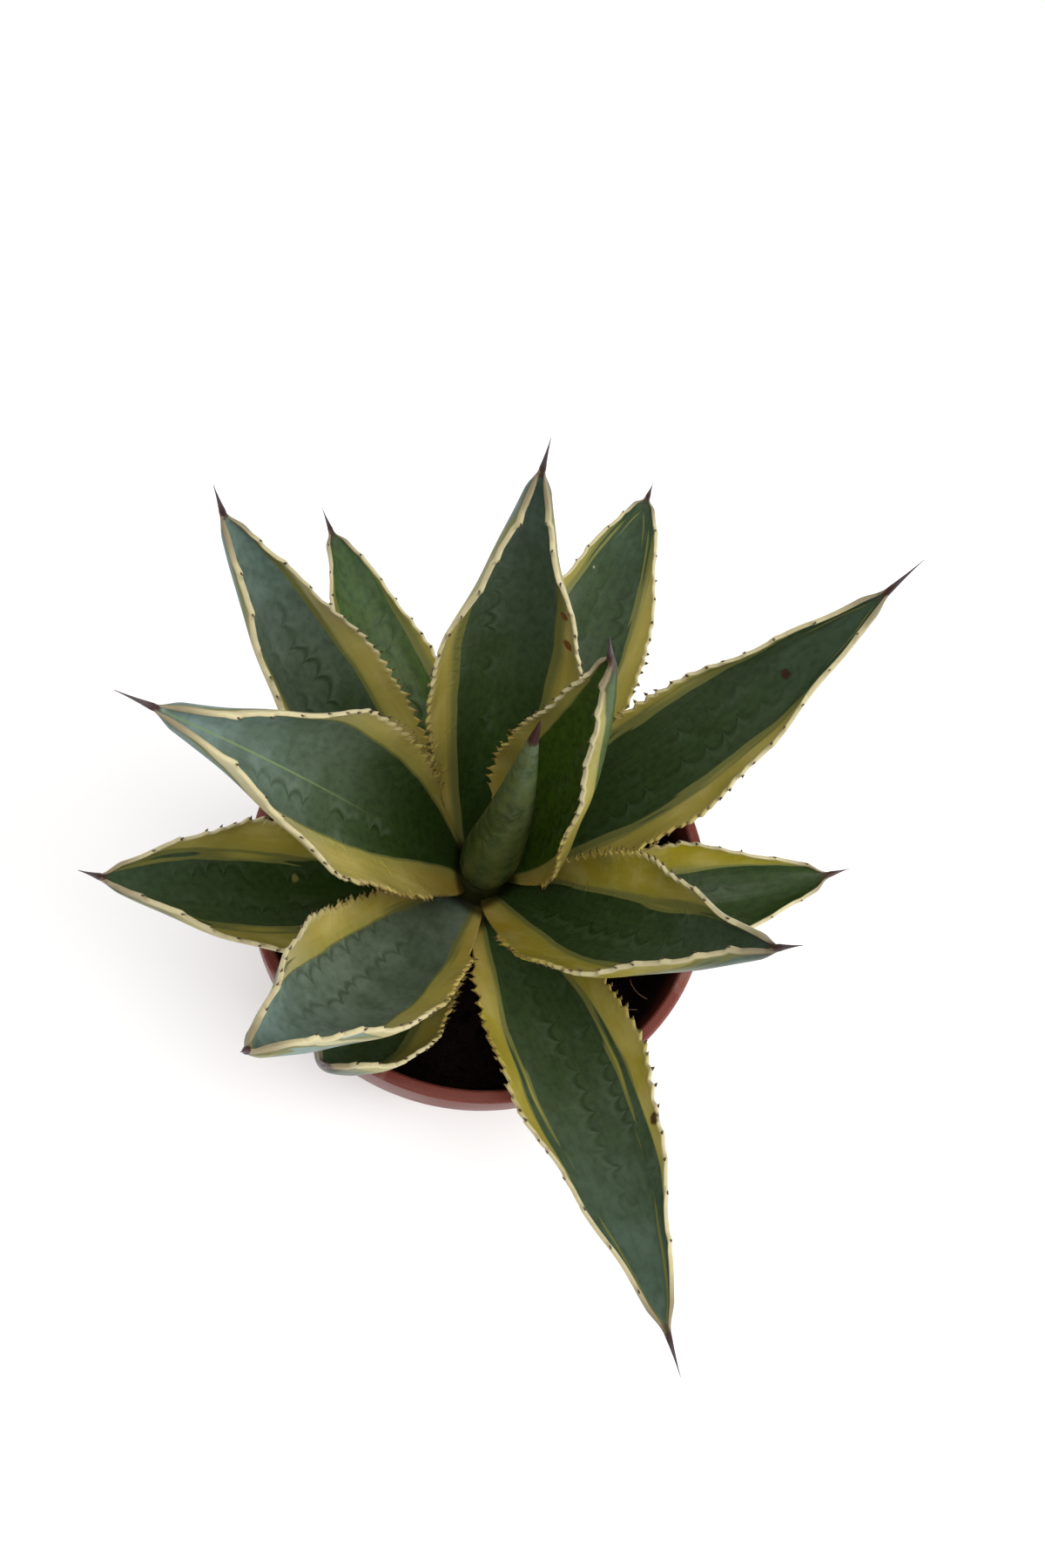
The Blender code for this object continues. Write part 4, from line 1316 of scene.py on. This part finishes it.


# %% [markdown]
# ## Growing the leaves
# Now each leaf is grown: its teeth are set out, the sheet is bent, the cones are joined to it and the blade's
# values are written on it.

# %% Grow the thirteen leaves
def grow_leaf(leaf, look, number):
    name = f"leaf_{number + 1:02d}"
    rng = random.Random(100 + number)
    rows = [tooth_row(leaf, rng), tooth_row(leaf, rng)]
    walk, points, side, reach, layer, edge = bend_sheet(leaf, number, rows, rng.uniform(0, math.tau))
    form = bmesh.new()
    bent = SHEET.copy()
    bent.vertices.foreach_set("co", points.astype(np.float32).ravel())
    form.from_mesh(bent)
    cones = bpy.data.meshes.new("cones")
    cone_form, cone_values = tooth_points(leaf, walk, rows)
    cone_form.to_mesh(cones)
    cone_form.free()
    form.from_mesh(cones)
    extra = len(cones.vertices)
    bpy.data.meshes.remove(bent)
    bpy.data.meshes.remove(cones)
    piece = add_object("blade_" + name[-2:], form)
    length = leaf.length * MM
    half = blade_width(leaf, np.clip(reach / length, 0, 1)) / 2
    border = (np.abs(side) - green_edge(look, side, reach / length)) * half
    blade = np.stack([side * half / MM, reach / MM, layer], axis=-1)
    margin = np.stack([edge / MM, border / MM, (reach - length) / MM], axis=-1)
    cone_reach = cone_values[:, 1]
    cone_half = blade_width(leaf, cone_reach / length) / 2
    nothing = np.zeros(extra)
    cone_blade = np.stack([cone_values[:, 0] * cone_half / MM, cone_reach / MM, nothing], axis=-1)
    cone_margin = np.stack([nothing, nothing + 9.0, (cone_reach - length) / MM], axis=-1)
    blade = np.vstack([blade, cone_blade]).astype(np.float32)
    margin = np.vstack([margin, cone_margin]).astype(np.float32)
    horn = np.concatenate([np.zeros(len(points)), cone_values[:, 2]]).astype(np.float32)
    write_values(piece.data, blade, margin, horn)
    stand_for(piece, name, leaf_material(name + "_skin", leaf, look, number + 1))
    return piece


for number, (leaf, look) in enumerate(zip(LEAVES, LOOKS)):
    piece = grow_leaf(leaf, look, number)

# %% [markdown]
# ## Spear
# The youngest leaf is still rolled into a spear. It is turned from its outline, and its points are then
# moved: the whole spear bows a little, and the free edge of the outermost wrap stands out as a long lip.

# %% Turn and shape the spear
spear_low, spear_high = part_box("spear")
SPEAR_BLADE = 133 * MM
SPEAR_SPINE = 14 * MM
SPEAR_BELLY = 12.3 * MM
SPEAR_FOOT = 9.0 * MM
SPEAR_NECK = 1.8 * MM
SPEAR_BOW = 2.0 * MM
SPEAR_STEPS = 120
LIP_HEIGHT = 0.8 * MM
LIP_ANGLE = math.radians(95)


def spear_radius(share):
    """A round foot, the belly low down and a long taper."""
    if share > 0.19:
        return SPEAR_BELLY + (SPEAR_NECK - SPEAR_BELLY) * ((share - 0.19) / 0.81) ** 1.15
    return SPEAR_BELLY + (SPEAR_FOOT - SPEAR_BELLY) * (1 - share / 0.19) ** 3.5


def spear_profile():
    foot = spear_low.z
    profile = [(0.0, spear_high.z)]
    for share in np.linspace(0.97, 0.0, 24):
        radius = 0.15 * MM + SPEAR_NECK * 0.9 * (1 - share) ** 0.8
        profile.append((radius, foot + SPEAR_BLADE + SPEAR_SPINE * share))
    for share in np.linspace(0.995, 0.0, 120):
        profile.append((spear_radius(share), foot + SPEAR_BLADE * share))
    profile.append((0.0, foot))
    return profile


def wrap_spear(form):
    """Bows the spear and raises the wrap's free edge. Returns the values for the finish."""
    blade, margin = [], []
    for point in form.verts:
        height = point.co.z - spear_low.z
        share = min(1.0, height / SPEAR_BLADE)
        radius = math.hypot(point.co.x, point.co.y)
        angle = math.atan2(point.co.y, point.co.x) % math.tau
        past_lip = (angle - LIP_ANGLE - 0.5 * share) % math.tau
        lift = LIP_HEIGHT * (1 - past_lip / math.tau) ** 3 * min(1.0, radius / (6 * MM)) * (1 - share ** 4)
        if radius > 0:
            point.co.x *= (radius + lift - 0.3 * MM * (1 - share)) / radius
            point.co.y *= (radius + lift - 0.3 * MM * (1 - share)) / radius
        point.co.x += SPEAR_BOW * math.sin(math.pi * share)
        girth = max(radius, 1 * MM)
        blade.append((past_lip * girth / MM, height / MM, 1.0))
        margin.append((past_lip * girth / MM, -20.0, (height - SPEAR_BLADE) / MM))
    return np.array(blade, np.float32), np.array(margin, np.float32)


spear_form = spin_profile(spear_profile(), SPEAR_STEPS)
spear_blade, spear_margin = wrap_spear(spear_form)
spear = add_object("rolled_spear", spear_form)
write_values(spear.data, spear_blade, spear_margin, np.zeros(len(spear_blade), np.float32))


def spear_material():
    material, graph, shader = new_material("spear_wax", Specular_IOR_Level=0.22)
    values = {
        "Blade": graph.attribute("blade").outputs["Vector"],
        "Margin": graph.attribute("margin").outputs["Vector"],
        "Horn": graph.attribute("horn").outputs["Fac"],
        "Fresh": 1.0, "Bloom": 0.42, "Low wax": 0.1, "Cream": 0.8, "Olive width": 1.0, "Streak": 0.0,
        "Print offset": 20.0, "Print pitch": 9.0, "Stain": 3.0, "Length": SPEAR_BLADE / MM, "Seed": 30.0,
    }
    skin = graph.group(SKIN, values)
    grain = graph.group(GRAIN, {"Place": graph.place("Object"), "Mottle size": 130.0, "Speckle size": 420.0})
    olive = graph.mix(grain["Mottle"], (0.030, 0.044, 0.008, 1.0), (0.085, 0.102, 0.026, 1.0))
    colour = graph.mix(graph.step(grain["Speckle"], 0.0, 1.0, 0.50, 0.85), skin["Color"], olive)
    height = graph.parts(graph.place("Object"))[2]
    blade_end = spear_low.z + SPEAR_BLADE
    horn = graph.step(height, blade_end - 4 * MM, blade_end)
    colour = graph.mix(horn, colour, HORN_BROWN)
    wire(graph, shader, colour, skin["Roughness"], skin["Height"])
    return material


stand_for(spear, "spear", spear_material())

# %% [markdown]
# ## Sizes
# Both boxes, the plain model's and the finished one's, are printed, so that they can be compared after each
# run. The finer pieces have to stay inside the plain model's box.

# %% Print the boxes and finish
bpy.data.meshes.remove(SHEET)
visual_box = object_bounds()
for name, (low, high) in (("plain", cad_box), ("finished", visual_box)):
    print(name, "model:", " x ".join(f"{side / MM:.1f}" for side in high - low), "mm")
